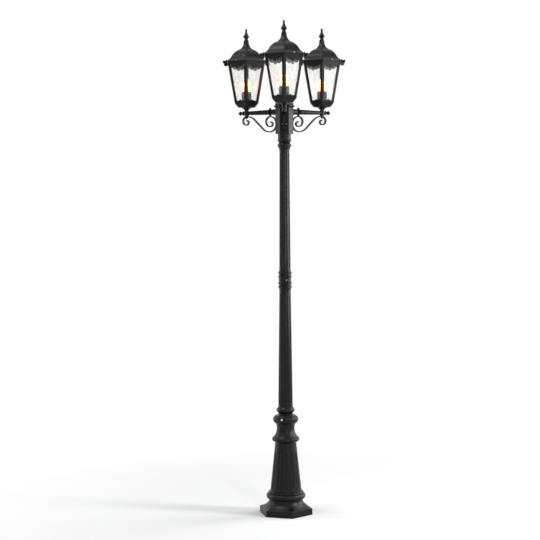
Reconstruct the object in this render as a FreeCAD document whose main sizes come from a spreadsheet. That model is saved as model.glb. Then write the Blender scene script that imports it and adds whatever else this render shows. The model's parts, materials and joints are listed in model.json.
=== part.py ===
"""Garden post with three hexagonal lanterns on arms at 120 degrees.

Units are millimetres. +Z is up and the origin is the centre of the foot's underside.
One arm points along -Y. Each arm and lantern is drawn along +X and turned about the post.
"""

import FreeCAD, Part
import math
import os

import Sketcher

Vector = FreeCAD.Vector

SIZES = {
    # whole post
    "arm_reach": 198.5,
    "foot_turn": 14.4,
    "pole_turn": 16.5,
    "fit": 0.1,
    "over": 1,
    "axis_line": 49,
    # plinth and flare of the foot
    "plinth_corner": 124,
    "plinth_height": 27,
    "turning_overlap": 4,
    "lip_corner": 119,
    "lip_height": 30,
    "flare_corner": 115,
    "flare_side": 900,
    "flare_low_corner": 98,
    "flare_low_height": 38,
    "flare_low_side": 190,
    "flare_mid_corner": 85,
    "flare_mid_height": 48,
    "flare_mid_side": 115,
    "flare_neck": 76,
    "flare_top": 60,
    "anchor_circle": 200,
    "anchor_hole": 6.5,
    "anchor_recess": 10.5,
    "anchor_floor": 14,
    # turned body of the foot
    "torus_base": 68,
    "torus_seat": 79,
    "torus_top": 95,
    "torus_round": 13.8,
    "lip_bead_top": 101.5,
    "lip_bead": 80.6,
    "cone_low": 71.6,
    "cone_high": 49.6,
    "cone_top": 309,
    "throat": 48,
    "throat_top": 325,
    "ring_low": 54,
    "ring_low_height": 330,
    "ring_high": 58,
    "ring_high_height": 349,
    "ring_round": 11,
    "neck_shoulder": 55,
    "neck_shoulder_height": 351,
    "neck": 40.3,
    "neck_height": 389,
    "neck_low_round": 56,
    "roll_low": 47.6,
    "roll_low_height": 413.5,
    "neck_high_round": 30,
    "roll_high": 53,
    "roll_high_height": 443,
    "roll_round": 19.5,
    "foot_top_lip": 46,
    "foot_top": 449,
    "cavity_low": 84,
    "cavity_step": 20,
    "cavity_neck": 66,
    "cone_wall": 8,
    "cable_way": 24,
    "socket_floor": 380,
    "socket": 31,
    # flutes of the foot
    "cone_flute_count": 12,
    "cone_flute_round": 9,
    "cone_flute_depth": 3.2,
    "cone_flute_low": 110,
    "cone_flute_high": 288,
    # poles
    "pole_wall": 5,
    "pole_gap": 0.2,
    "pole_foot": 384,
    "pole_foot_bore": 25,
    "pole_collar": 32.4,
    "pole_collar_top": 457,
    "pole_bead": 37,
    "pole_bead_low": 464,
    "pole_bead_high": 482,
    "pole_bead_round": 11.3,
    "lower_pole_low": 33.2,
    "lower_pole_start": 486,
    "lower_pole_high": 26,
    "lower_pole_top": 1018,
    "coupling_bore": 22,
    "coupling_middle": 1063,
    "spigot_wall": 4.5,
    "spigot_end": 2.5,
    "spigot_taper": 12,
    "upper_pole_start": 1107,
    "upper_pole_low": 25.9,
    "upper_pole_high": 22.6,
    "upper_pole_top": 1648,
    "collar_bore": 18.8,
    "upper_spigot_top": 1688,
    "pole_flute_count": 10,
    "pole_flute_round": 7,
    "pole_flute_depth": 2.3,
    "lower_flute_low": 499,
    "lower_flute_high": 1000,
    "upper_flute_low": 1115,
    "upper_flute_high": 1633,
    # coupling between the poles
    "coupling_lip": 26.8,
    "coupling_seat": 28,
    "coupling_near": 14.8,
    "coupling_far": 31.2,
    "coupling_bead": 31.1,
    "coupling_bead_half": 5.2,
    "coupling_bead_flat": 2.4,
    # collar under the hub
    "collar_low": 23.4,
    "collar_bead_low": 1659.5,
    "collar_bead_high": 1676.5,
    "collar_bead_seat": 27,
    "collar_bead_round": 11,
    "collar_groove": 24.2,
    "collar_groove_height": 1680.5,
    "collar_ring_low": 1685,
    "collar_ring_high": 1694,
    "collar_ring_round": 6.5,
    "collar_neck": 29,
    "collar_top": 1719,
    # hub
    "hub_corner": 40,
    "hub_top": 1852,
    "hub_wall": 7,
    "hub_floor": 8,
    "hub_spigot_low": 1694,
    "hub_bore": 12,
    "hub_wire_hole": 5,
    "cornice_corner": 47,
    "cornice_low": 1837,
    "cornice_mid": 1842,
    "cornice_high": 1847,
    "cap_corner": 42.5,
    "cap_edge": 4,
    "cap_crown": 14,
    "cap_crown_corner": 12,
    "cap_lip": 3,
    "cap_gap": 0.4,
    # arms
    "arm_axis": 1819,
    "plate_width": 23,
    "plate_low": 1730,
    "plate_high": 1831,
    "plate_end_round": 15,
    "plate_face": 39,
    "boss_corner": 14.4,
    "boss_end": 66,
    "arm_root_corner": 12.3,
    "arm_tip_corner": 8.3,
    "arm_end": 214,
    "eye": 10.5,
    "eye_low": 1806.5,
    "eye_high": 1828,
    "arm_wire_way": 3.2,
    "stem_hole": 4.2,
    "arm_collar_at": 70,
    "arm_collar_thickness": 6,
    "arm_collar_point": 20.5,
    "arm_collar_seat": 17,
    "arm_collar_hole": 12.4,
    # knob at the end of an arm
    "knob_collar": 9.2,
    "knob_collar_length": 4,
    "knob_waist": 5,
    "knob_waist_start": 6.5,
    "knob_length": 29,
    "knob_ball": 9,
    "knob_pin": 2.5,
    "knob_pin_length": 6,
    # scroll bar under an arm
    "scroll_thickness": 5,
    "scroll_width": 12,
    "scroll_bud": 3.9,
    "scroll_start": 68.3,
    "scroll_height": 1774.8,
    "scroll_hole_low": 1791,
    # lantern bowl
    "bowl_rim": 63.5,
    "bowl_top": 1868,
    "bowl_belly": 57.5,
    "bowl_belly_height": 1860,
    "bowl_foot": 44,
    "bowl_foot_height": 1846,
    "bowl_step": 30,
    "bowl_step_height": 1844.5,
    "bowl_cone_round": 30,
    "bowl_stem": 9.8,
    "bowl_stem_top": 1833.5,
    "bowl_floor": 1858,
    "bowl_room": 46,
    # lantern cage
    "cage_low_corner": 62,
    "cage_high_corner": 97,
    "cage_top": 2050,
    "cage_wall": 5.5,
    "cage_flange": 4,
    "upstand_corner": 86.5,
    "upstand_inner": 81.5,
    "upstand_top": 2056,
    "bar_face": 10,
    "window_low": 1874,
    "crest_half": 9,
    "crest_rise": 5.5,
    "crest_round": 16,
    "window_high": 2033,
    "valance": 2028.5,
    "lobe_far": 26,
    "lobe_near": 9,
    "lobe_round": 9.3,
    "drop_half": 7,
    "drop_round": 7.05,
    "drop_start": 2023.5,
    "pane_thickness": 3,
    "pane_seat": 0.35,
    "pane_slot": 4,
    "pane_slot_start": 44,
    # roof
    "eave_corner": 103,
    "eave_low": 2048.5,
    "eave_high": 2053.5,
    "rim_gap": 0.6,
    "seat_gap": 0.4,
    "leaf_inner": 100,
    "leaf_low": 2040.5,
    "leaf_belly": 111,
    "leaf_belly_height": 2038.5,
    "leaf_tip": 121.5,
    "leaf_tip_height": 2049,
    "leaf_back": 118,
    "leaf_back_height": 2053,
    "leaf_round": 13,
    "spike": 101.5,
    "spike_foot": 105.5,
    "spike_top": 2059.5,
    "leaf_thickness": 4,
    "slope_foot": 65,
    "slope_foot_height": 2076.5,
    "slope_foot_round": 49,
    "shoulder": 34.6,
    "shoulder_height": 2107,
    "shoulder_round": 68,
    "crown_round": 38.5,
    "crown_height": 2142.5,
    "crown_corner": 13.7,
    "spigot": 3,
    "spigot_length": 16,
    # finial on the roof
    "finial_seat": 10,
    "finial_seat_high": 2148.5,
    "finial_seat_round": 3.6,
    "finial_waist": 7.4,
    "finial_waist_height": 2158,
    "finial_bulb": 13.3,
    "finial_bulb_low": 2163,
    "finial_bulb_high": 2168,
    "finial_neck": 4.1,
    "finial_top": 2201,
    "finial_ball": 5.4,
    "finial_cone_round": 40,
    # lampholder and bulb
    "holder_base": 14,
    "holder_base_top": 1866,
    "holder_skirt_low": 18.5,
    "holder_skirt": 21.5,
    "holder_skirt_height": 1882,
    "holder_top": 1915,
    "holder_bore": 13.9,
    "holder_bore_low": 1886,
    "holder_notch": 4.5,
    "holder_notch_depth": 4,
    "holder_notch_count": 8,
    "cap_radius": 13.1,
    "cap_low": 1890,
    "cap_pip": 4.5,
    "cap_pip_rise": 3,
    "bulb_neck": 12.4,
    "bulb_side": 16.9,
    "bulb_side_height": 1937.5,
    "bulb_shoulder": 16.6,
    "bulb_shoulder_height": 1946.5,
    "bulb_belly_round": 16.5,
    "bulb_tip": 4,
    "bulb_top": 1988,
    "bulb_ball": 4.4,
    "bulb_glass": 1.2,
    "filament_stem": 3,
    "filament_low": 1917,
    "filament_mid": 1930,
    "filament_high": 1968,
    "filament_half": 5,
    "filament_width": 1.8,
    "filament_bridge": 2,
    # stem through an arm's end
    "stem": 4,
    "stem_wire_way": 2.2,
    "stem_wire_floor": 1811,
    "stem_low": 1795.5,
    "stem_top": 1866,
    "nut_corner": 7.5,
    "nut_dome": 6.3,
    "nut_seat": 1801,
    "nut_low": 1796.5,
    "nut_ball": 7.4,
    "nut_relief": 0.3,
    # screws and the terminal block
    "screw_head": 4.6,
    "foot_screw_turn": -17.8,
    "foot_screw_height": 434,
    "coupling_screw": 3.2,
    "coupling_screw_turn": 13.9,
    "set_screw_proud": 0.6,
    "foot_screw_end": 57.4,
    "plate_screw": 1.7,
    "plate_screw_head": 2.6,
    "plate_screw_rise": 2,
    "plate_screw_start": 30,
    "plate_screw_height": 1762,
    "plate_screw_side": 8.8,
    "roof_screw": 2,
    "roof_screw_head": 3.3,
    "roof_screw_height": 2054.2,
    "roof_screw_seat": 84,
    "roof_screw_end": 90,
    "roof_screw_tip": 75.2,
    "block_length": 24,
    "block_width": 12,
    "block_height": 16,
    "block_side": 13.5,
    "block_hole": 1.8,
    "block_pitch": 8,
}

ROOF_ROOM = ((84, 2060.5), (68.5, 2079), (60.5, 2089), (48, 2099.5), (27, 2110), (18, 2119))
SCROLL_TURNS = (
    ("small_eye", 8.3, 90),
    ("inner_coil", 12, 90),
    ("outer_coil", 22.5, 90),
    ("outer_coil", 22.5, 90),
    ("shoulder", 30.5, 90),
    ("heel_rise", 4.5, 0),
    ("heel", 33.5, 90),
    ("sweep_up", 52.7, 44),
    ("slope", 60.67, 0),
    ("sweep_over", 57.24, -44),
    ("tip_coil", 21.5, -90),
    ("tip_under", 17, -90),
    ("tip_back", 12.5, -90),
    ("tip_eye", 7, -90),
)
ARM_ANGLES = (270, 30, 150)
ROOF_SCREW_FACETS = (30, 30, 90)
FLAT = round(math.cos(math.pi / 6), 9)
SAME_PLACE = 1e-6
LEAST_CUT = 1e-3

SIZES |= {name: length for name, length, _ in SCROLL_TURNS}
for step, (corner, height) in enumerate(ROOF_ROOM, start=1):
    SIZES |= {f"room_corner_{step}": corner, f"room_height_{step}": height}

doc = FreeCAD.newDocument("lamp_post")


class Size:
    """A length together with the sheet expression that gives it."""

    def __init__(self, value, text):
        self.value = value
        self.text = text

    def joined(self, other, sign, value):
        return Size(value, f"({self.text} {sign} {as_size(other).text})")

    def __add__(self, other):
        return self.joined(other, "+", self.value + as_size(other).value)

    def __sub__(self, other):
        return self.joined(other, "-", self.value - as_size(other).value)

    def __mul__(self, other):
        return self.joined(other, "*", self.value * as_size(other).value)

    def __truediv__(self, other):
        return self.joined(other, "/", self.value / as_size(other).value)

    def __neg__(self):
        return Size(-self.value, f"(-1 * {self.text})")

    def root(self):
        return Size(math.sqrt(self.value), f"sqrt({self.text})")


class SizeTable:
    """The driving dimensions, read from the sheet as attributes."""

    def __init__(self, sheet):
        for alias in SIZES:
            setattr(self, alias, Size(float(sheet.get(alias)), f"Sizes.{alias}"))


def as_size(value):
    return value if isinstance(value, Size) else Size(value, repr(value))


def fill_sheet():
    """Write every driving dimension into the sheet under its alias."""
    sheet = doc.addObject("Spreadsheet::Sheet", "Sizes")
    for row, (alias, value) in enumerate(SIZES.items(), start=1):
        sheet.set(f"A{row}", alias)
        sheet.set(f"B{row}", str(value))
        sheet.setAlias(f"B{row}", alias)
    doc.recompute()
    return sheet


fill_sheet()
d = SizeTable(doc.getObject("Sizes"))


# --- bodies, sketches and features -------------------------------------------------------------

def new_body(label, angle=0, reach=0, height=0):
    """Make a body turned about the post, set out along its arm by reach and up by height."""
    body = doc.addObject("PartDesign::Body", label)
    body.Label = label
    body.AllowCompound = True
    angle, reach, height = as_size(angle), as_size(reach), as_size(height)
    turn = FreeCAD.Rotation(Vector(0, 0, 1), angle.value)
    place = turn.multVec(Vector(reach.value, 0, 0)) + Vector(0, 0, height.value)
    body.Placement = FreeCAD.Placement(place, turn)
    if reach.value:
        body.setExpression("Placement.Base.x", f"{reach.text} * cos({angle.text} * 1 deg)")
        body.setExpression("Placement.Base.y", f"{reach.text} * sin({angle.text} * 1 deg)")
    if height.value:
        body.setExpression("Placement.Base.z", height.text)
    return body


def new_sketch(body, name, plane="XY_Plane", offset=0, turn=0):
    """Attach a sketch to one of the body's planes, moved along its normal or turned about Z."""
    sketch = body.newObject("Sketcher::SketchObject", f"{body.Label}_{name}")
    features = body.Origin.OriginFeatures
    support = next(feature for feature in features if feature.Role == plane)
    sketch.AttachmentSupport = (support, [""])
    sketch.MapMode = "FlatFace"
    offset, turn = as_size(offset), as_size(turn)
    spin = FreeCAD.Rotation(Vector(0, 1, 0), turn.value)
    sketch.AttachmentOffset = FreeCAD.Placement(spin.multVec(Vector(0, 0, offset.value)), spin)
    if turn.value and offset.value:
        sketch.setExpression("AttachmentOffset.Base.x", f"{offset.text} * sin({turn.text} * 1 deg)")
        sketch.setExpression("AttachmentOffset.Base.z", f"{offset.text} * cos({turn.text} * 1 deg)")
    elif offset.value:
        sketch.setExpression("AttachmentOffset.Base.z", offset.text)
    return sketch


def bind(sketch, kind, *where, size):
    """Add a dimension to a sketch and tie it to the sheet."""
    size = as_size(size)
    index = sketch.addConstraint(Sketcher.Constraint(kind, *where, size.value))
    sketch.setExpression(f"Constraints[{index}]", size.text)


def arc_between(first, last, radius):
    """Arc of under a half circle; a positive radius bulges to the right of the way it goes."""
    chord = last - first
    reach = math.sqrt(radius ** 2 - chord.Length ** 2 / 4)
    across = Vector(chord.y, -chord.x, 0).normalize() * (1 if radius > 0 else -1)
    centre = (first + last) * 0.5 - across * reach
    middle = centre + across * abs(radius)
    return Part.Arc(first, middle, last)


def pin(sketch, geometry, end, place):
    """Fix one end or centre of a sketch line to a place given by the sheet."""
    for size, axis, kind in ((place[0], -2, "DistanceX"), (place[1], -1, "DistanceY")):
        if size.value == 0:
            sketch.addConstraint(Sketcher.Constraint("PointOnObject", geometry, end, axis))
        else:
            bind(sketch, kind, -1, 1, geometry, end, size=size)


def outline(sketch, points, closed=True):
    """Draw a chain through points (x, y) or (x, y, radius of the arc that leads there)."""
    places = [(as_size(point[0]), as_size(point[1])) for point in points]
    corners = [Vector(x.value, y.value, 0) for x, y in places]
    steps = range(0 if closed else 1, len(points))
    ends = []
    for geometry, step in enumerate(steps):
        first, last = corners[step - 1], corners[step]
        if len(points[step]) > 2:
            sketch.addGeometry(arc_between(first, last, as_size(points[step][2]).value), False)
        else:
            sketch.addGeometry(Part.LineSegment(first, last), False)
        forward = (sketch.getPoint(geometry, 1) - first).Length < SAME_PLACE
        ends.append((1, 2) if forward else (2, 1))
    for geometry in range(len(steps) if closed else len(steps) - 1):
        following = (geometry + 1) % len(steps)
        where = (geometry, ends[geometry][1], following, ends[following][0])
        sketch.addConstraint(Sketcher.Constraint("Coincident", *where))
    if not closed:
        pin(sketch, 0, ends[0][0], places[0])
    for geometry, step in enumerate(steps):
        pin(sketch, geometry, ends[geometry][1], places[step])
        if len(points[step]) > 2:
            radius = as_size(points[step][2])
            bind(sketch, "Radius", geometry, size=radius if radius.value > 0 else -radius)
    return sketch


def polygon(body, name, corner, offset=0, sides=6, plane="XY_Plane", side_round=None, at=0):
    """Regular polygon by its corner radius: a hexagon's corner or an octagon's flat faces +X."""
    corner = as_size(corner)
    start = math.pi / sides if sides == 8 else 0
    points = []
    for index in range(sides):
        angle = start + 2 * math.pi * index / sides
        place = (corner * round(math.cos(angle), 9) + at, corner * round(math.sin(angle), 9))
        points.append(place + (side_round,) if side_round else place)
    return outline(new_sketch(body, name, plane, offset), points)


def circles(sketch, spots):
    """Draw circles (x, y, radius) that are tied to the sheet."""
    for x, y, radius in spots:
        x, y, radius = as_size(x), as_size(y), as_size(radius)
        circle = Part.Circle(Vector(x.value, y.value, 0), Vector(0, 0, 1), radius.value)
        index = sketch.addGeometry(circle, False)
        bind(sketch, "Radius", index, size=radius)
        pin(sketch, index, 3, (x, y))
    return sketch


def add_feature(body, kind, sketch, name=None):
    feature = body.newObject(f"PartDesign::{kind}", name or f"{sketch.Name}_{kind}")
    feature.Profile = (sketch, [""])
    return feature


def pad(body, sketch, length, midplane=False):
    feature = add_feature(body, "Pad", sketch)
    feature.Midplane = midplane
    length = as_size(length)
    feature.Length = length.value
    feature.setExpression("Length", length.text)
    return feature


def pocket(body, sketch, length, away=False, midplane=False):
    """Cut a sketch's outline along its normal, away from it or both ways, and see that it cuts."""
    feature = add_feature(body, "Pocket", sketch)
    feature.Reversed = not away
    feature.Midplane = midplane
    length = as_size(length)
    feature.Length = length.value
    feature.setExpression("Length", length.text)
    return must_cut(body, feature)


def ball_seat(ball, neck):
    """Distance from a ball's centre to where it meets a neck of a given radius."""
    return (ball * ball - neck * neck).root()


def turned(body, kind, name, points, at=0, axis="V_Axis"):
    """Turn an outline about a sketch axis, or about an upright line set out from the post."""
    sketch = outline(new_sketch(body, name, "XZ_Plane"), points)
    at = as_size(at)
    if at.value:
        foot = Vector(at.value, d.over.value, 0)
        line = Part.LineSegment(foot, foot + Vector(0, d.axis_line.value, 0))
        index = sketch.addGeometry(line, True)
        sketch.addConstraint(Sketcher.Constraint("Vertical", index))
        pin(sketch, index, 1, (at, d.over))
        bind(sketch, "DistanceY", index, 1, index, 2, size=d.axis_line)
        axis = "Axis0"
    feature = add_feature(body, kind, sketch)
    feature.ReferenceAxis = (sketch, [axis])
    feature.Angle = 360
    return must_cut(body, feature) if kind == "Groove" else feature


def loft(body, sections, kind="AdditiveLoft", ruled=False):
    feature = add_feature(body, kind, sections[0])
    feature.Sections = [(section, [""]) for section in sections[1:]]
    feature.Ruled = ruled
    return must_cut(body, feature) if kind.startswith("Subtractive") else feature


def must_cut(body, feature):
    """Stop if a cutting feature left the body as it was."""
    doc.recompute()
    before = feature.BaseFeature.Shape.Volume
    if before - feature.Shape.Volume < LEAST_CUT:
        raise RuntimeError(f"{feature.Name} in {body.Label} cuts nothing")
    return feature


def around(body, features, count):
    """Repeat features evenly about the body's upright axis."""
    pattern = body.newObject("PartDesign::PolarPattern", f"{features[0].Name}_ring")
    pattern.Originals = features
    origin = body.Origin.OriginFeatures
    pattern.Axis = (next(feature for feature in origin if feature.Role == "Z_Axis"), [""])
    pattern.Angle = 360
    count = as_size(count)
    pattern.Occurrences = int(count.value)
    if count.text.startswith("Sizes"):
        pattern.setExpression("Occurrences", count.text)
    body.Tip = pattern
    return pattern


def flute(body, low, high, wall, radius, depth, turn=0):
    """Cut a round-ended flute: a capsule along the wall (low radius, height, high radius, height)."""
    low_radius, low_height, high_radius, high_height = wall
    slope = (high_radius - low_radius) / (high_height - low_height)
    out = radius - depth
    start = low_radius + slope * (low + radius - low_height) + out
    end = low_radius + slope * (high - radius - low_height) + out
    sketch = new_sketch(body, "flute", "XZ_Plane", turn=turn)
    first = Vector(start.value, (low + radius).value, 0)
    last = Vector(end.value, (high - radius).value, 0)
    along = (last - first).normalize()
    away = Vector(along.y, -along.x, 0)
    reach = radius.value
    tail, tip = first - along * reach, last + along * reach
    side_first, side_last = first + away * reach, last + away * reach
    half = math.sqrt(0.5) * reach
    sketch.addGeometry(Part.LineSegment(tail, tip), False)
    sketch.addGeometry(Part.Arc(tip, last + (along + away) * half, side_last), False)
    sketch.addGeometry(Part.LineSegment(side_last, side_first), False)
    sketch.addGeometry(Part.Arc(side_first, first + (away - along) * half, tail), False)
    sketch.addGeometry(Part.LineSegment(tail, tip), True)
    for index in (1, 3):
        bind(sketch, "Radius", index, size=radius)
    for index, place in ((3, (start, low + radius)), (1, (end, high - radius))):
        pin(sketch, index, 3, place)
    feature = add_feature(body, "Groove", sketch)
    feature.ReferenceAxis = (sketch, ["Axis0"])
    feature.Angle = 360
    return must_cut(body, feature)


# --- post --------------------------------------------------------------------------------------

def foot_casting():
    """Hexagonal plinth that flares up into a turned, fluted body with a socket on top."""
    body = new_body("foot_casting", d.foot_turn - 90)
    pad(body, polygon(body, "plan", d.plinth_corner), d.plinth_height)
    loft(body, [
        polygon(body, "chamfer_low", d.plinth_corner, d.plinth_height),
        polygon(body, "chamfer_high", d.lip_corner, d.lip_height),
    ], ruled=True)
    loft(body, [
        polygon(body, "flare_1", d.flare_corner, d.lip_height, side_round=d.flare_side),
        polygon(body, "flare_2", d.flare_low_corner, d.flare_low_height, side_round=d.flare_low_side),
        polygon(body, "flare_3", d.flare_mid_corner, d.flare_mid_height, side_round=d.flare_mid_side),
        polygon(body, "flare_4", d.flare_neck, d.flare_top, side_round=d.flare_neck),
    ], ruled=True)
    turn_foot(body)
    radius = d.anchor_circle / 2
    recess = circles(new_sketch(body, "recess", offset=d.anchor_floor), [(radius, 0, d.anchor_recess)])
    cut = pocket(body, recess, d.flare_top)
    hole = circles(new_sketch(body, "anchor", offset=-d.over), [(radius, 0, d.anchor_hole)])
    drill = pocket(body, hole, d.plinth_height)
    around(body, [cut, drill], 3)
    wall = (d.cone_low, d.lip_bead_top, d.cone_high, d.cone_top)
    cut = flute(body, d.cone_flute_low, d.cone_flute_high, wall, d.cone_flute_round,
                d.cone_flute_depth, turn=as_size(180) / d.cone_flute_count)
    around(body, [cut], d.cone_flute_count)
    turn = d.foot_screw_turn - d.foot_turn
    set_screw_holes(body, d.foot_screw_height, d.screw_head, d.flare_neck, turn)
    return body


def turn_foot(body):
    """Add the foot's mouldings above the flare and hollow it out from below."""
    start = d.flare_top - d.turning_overlap
    turned(body, "Revolution", "mouldings", [
        (0, start),
        (d.flare_neck, start),
        (d.flare_neck, d.torus_base),
        (d.torus_seat, d.torus_top, d.torus_round),
        (d.lip_bead, (d.torus_top + d.lip_bead_top) / 2),
        (d.torus_seat, d.lip_bead_top),
        (d.cone_low, d.lip_bead_top),
        (d.cone_high, d.cone_top),
        (d.throat, d.throat_top),
        (d.ring_low, d.ring_low_height),
        (d.ring_high, d.ring_high_height, d.ring_round),
        (d.neck_shoulder, d.neck_shoulder_height),
        (d.neck, d.neck_height, -d.neck_low_round),
        (d.roll_low, d.roll_low_height, -d.neck_high_round),
        (d.roll_high, d.roll_high_height, d.roll_round),
        (d.foot_top_lip, d.foot_top),
        (0, d.foot_top),
    ])
    wall = d.cone_wall
    turned(body, "Groove", "hollow", [
        (0, -d.over),
        (d.cavity_low, -d.over),
        (d.cavity_low, d.cavity_step),
        (d.cavity_neck, start),
        (d.cone_low - wall, d.lip_bead_top),
        (d.cone_high - wall, d.cone_top - wall),
        (d.cable_way, d.ring_high_height),
        (d.cable_way, d.socket_floor),
        (d.socket, d.socket_floor),
        (d.socket, d.foot_top + d.over),
        (0, d.foot_top + d.over),
    ])


def set_screw_holes(body, height, radius, length, turn):
    """Drill three holes for set screws that point at the post's axis."""
    spot = circles(new_sketch(body, "set_screw", "YZ_Plane", turn=turn), [(0, height, radius + d.fit)])
    around(body, [pocket(body, spot, length)], 3)


def lower_pole():
    """Tapered, fluted tube with a spigot at each end and a bead above the foot."""
    body = new_body("lower_pole", d.pole_turn - 90)
    spigot = d.coupling_bore - d.pole_gap
    end = d.coupling_middle - d.spigot_end
    turned(body, "Revolution", "wall", [
        (d.pole_foot_bore, d.pole_foot),
        (d.socket - d.pole_gap, d.pole_foot),
        (d.socket - d.pole_gap, d.foot_top),
        (d.pole_collar, d.foot_top),
        (d.pole_collar, d.pole_collar_top),
        (d.pole_bead, d.pole_bead_low),
        (d.pole_bead, d.pole_bead_high, d.pole_bead_round),
        (d.lower_pole_low, d.lower_pole_start),
        (d.lower_pole_high, d.lower_pole_top),
        (spigot, d.lower_pole_top),
        (spigot, end),
        (spigot - d.spigot_wall, end),
        (spigot - d.spigot_wall, d.lower_pole_top),
        (d.lower_pole_high - d.pole_wall, d.lower_pole_top - d.spigot_taper),
        (d.lower_pole_low - d.pole_wall, d.lower_pole_start),
    ])
    wall = (d.lower_pole_low, d.lower_pole_start, d.lower_pole_high, d.lower_pole_top)
    cut = flute(body, d.lower_flute_low, d.lower_flute_high, wall, d.pole_flute_round, d.pole_flute_depth)
    around(body, [cut], d.pole_flute_count)
    return body


def pole_coupling():
    """Sleeve with four beads that takes a pole's spigot at each end."""
    body = new_body("pole_coupling")
    near, far, half, flat = d.coupling_near, d.coupling_far, d.coupling_bead_half, d.coupling_bead_flat
    points = [(d.coupling_bore, d.lower_pole_top), (d.coupling_lip, d.lower_pole_top)]
    for middle in (-far, -near, near, far):
        height = d.coupling_middle + middle
        points.append((d.coupling_seat, height - half))
        points.append((d.coupling_bead, height - flat))
        points.append((d.coupling_bead, height + flat))
        points.append((d.coupling_seat, height + half))
    points += [(d.coupling_lip, d.upper_pole_start), (d.coupling_bore, d.upper_pole_start)]
    turned(body, "Revolution", "sleeve", points)
    turn = d.coupling_screw_turn - 90
    set_screw_holes(body, d.coupling_middle, d.coupling_screw, d.hub_corner, turn)
    return body


def upper_pole():
    """Slimmer fluted tube between the coupling and the top collar."""
    body = new_body("upper_pole", d.pole_turn - 90)
    spigot = d.coupling_bore - d.pole_gap
    top_spigot = d.collar_bore - d.pole_gap
    start = d.coupling_middle + d.spigot_end
    turned(body, "Revolution", "wall", [
        (spigot - d.spigot_wall, start),
        (spigot, start),
        (spigot, d.upper_pole_start),
        (d.upper_pole_low, d.upper_pole_start),
        (d.upper_pole_high, d.upper_pole_top),
        (top_spigot, d.upper_pole_top),
        (top_spigot, d.upper_spigot_top),
        (top_spigot - d.spigot_wall, d.upper_spigot_top),
        (top_spigot - d.spigot_wall, d.upper_pole_top),
        (d.upper_pole_high - d.pole_wall, d.upper_pole_top - d.spigot_taper),
        (d.upper_pole_low - d.pole_wall, d.upper_pole_start + d.spigot_taper),
        (spigot - d.spigot_wall, d.upper_pole_start),
    ])
    wall = (d.upper_pole_low, d.upper_pole_start, d.upper_pole_high, d.upper_pole_top)
    cut = flute(body, d.upper_flute_low, d.upper_flute_high, wall, d.pole_flute_round, d.pole_flute_depth)
    around(body, [cut], d.pole_flute_count)
    return body


def top_collar():
    """Turned collar that joins the upper pole and the hub."""
    body = new_body("top_collar")
    turned(body, "Revolution", "collar", [
        (d.collar_bore, d.upper_pole_top),
        (d.collar_low, d.upper_pole_top),
        (d.collar_bead_seat, d.collar_bead_low),
        (d.collar_bead_seat, d.collar_bead_high, d.collar_bead_round),
        (d.collar_groove, d.collar_groove_height),
        (d.collar_neck, d.collar_ring_low),
        (d.collar_neck, d.collar_ring_high, d.collar_ring_round),
        (d.collar_neck, d.collar_top),
        (d.collar_bore, d.collar_top),
    ])
    return body


def hub():
    """Six-sided box under a cornice, with a spigot below and holes for the arms."""
    body = new_body("hub")
    pad(body, polygon(body, "walls", d.hub_corner, d.collar_top), d.hub_top - d.collar_top)
    loft(body, [
        polygon(body, "cornice_low", d.hub_corner, d.cornice_low),
        polygon(body, "cornice_mid", d.cornice_corner, d.cornice_mid),
    ], ruled=True)
    pad(body, polygon(body, "cornice", d.cornice_corner, d.cornice_mid), d.cornice_high - d.cornice_mid)
    spigot = [(0, 0, d.collar_bore - d.pole_gap)]
    pad(body, circles(new_sketch(body, "spigot", offset=d.hub_spigot_low), spigot),
        d.collar_top - d.hub_spigot_low)
    floor = d.collar_top + d.hub_floor
    pocket(body, polygon(body, "room", d.hub_corner - d.hub_wall, floor), d.hub_top - floor)
    bore = circles(new_sketch(body, "bore", offset=d.hub_spigot_low - d.over), [(0, 0, d.hub_bore)])
    pocket(body, bore, floor + d.over * 2 - d.hub_spigot_low)
    side, shank = d.plate_screw_side, d.plate_screw + d.fit
    holes = circles(new_sketch(body, "arm_holes", "XZ_Plane"), [
        (0, d.arm_axis, d.hub_wire_hole),
        (-side, d.plate_screw_height, shank),
        (side, d.plate_screw_height, shank),
    ])
    around(body, [pocket(body, holes, d.hub_corner)], 3)
    return body


def hub_cap():
    """Low six-sided lid with a rim that drops inside the hub."""
    body = new_body("hub_cap")
    pad(body, polygon(body, "edge", d.cap_corner, d.hub_top), d.cap_edge)
    loft(body, [
        polygon(body, "slope_low", d.cap_corner, d.hub_top + d.cap_edge),
        polygon(body, "slope_high", d.cap_crown_corner, d.hub_top + d.cap_crown),
    ], ruled=True)
    inside = d.hub_corner - d.hub_wall - d.cap_gap
    pad(body, polygon(body, "rim", inside, d.hub_top - d.cap_lip), d.cap_lip)
    return body


def set_screws():
    """Three set screws in the foot and three in the coupling, as plain studs."""
    body = new_body("set_screws", -90)
    rows = (
        ("foot", d.foot_screw_height, d.screw_head, d.socket, d.foot_screw_end, d.foot_screw_turn),
        ("coupling", d.coupling_middle, d.coupling_screw, d.coupling_bore,
         d.coupling_seat + d.set_screw_proud, d.coupling_screw_turn),
    )
    studs = []
    for name, height, radius, start, end, turn in rows:
        sketch = circles(new_sketch(body, name, "YZ_Plane", start, turn), [(0, height, radius)])
        studs.append(pad(body, sketch, end - start))
    around(body, studs, 3)
    return body


def bracket_screws():
    """Two screws through each arm's plate into the hub."""
    body = new_body("bracket_screws", -90)
    features = []
    rows = (
        ("shanks", d.plate_screw_start, d.plate_face, d.plate_screw),
        ("heads", d.plate_face, d.plate_face + d.plate_screw_rise, d.plate_screw_head),
    )
    for name, start, end, radius in rows:
        spots = [(side, d.plate_screw_height, radius) for side in (-d.plate_screw_side, d.plate_screw_side)]
        sketch = circles(new_sketch(body, name, "YZ_Plane", start), spots)
        features.append(pad(body, sketch, end - start))
    around(body, features, 3)
    return body


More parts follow.
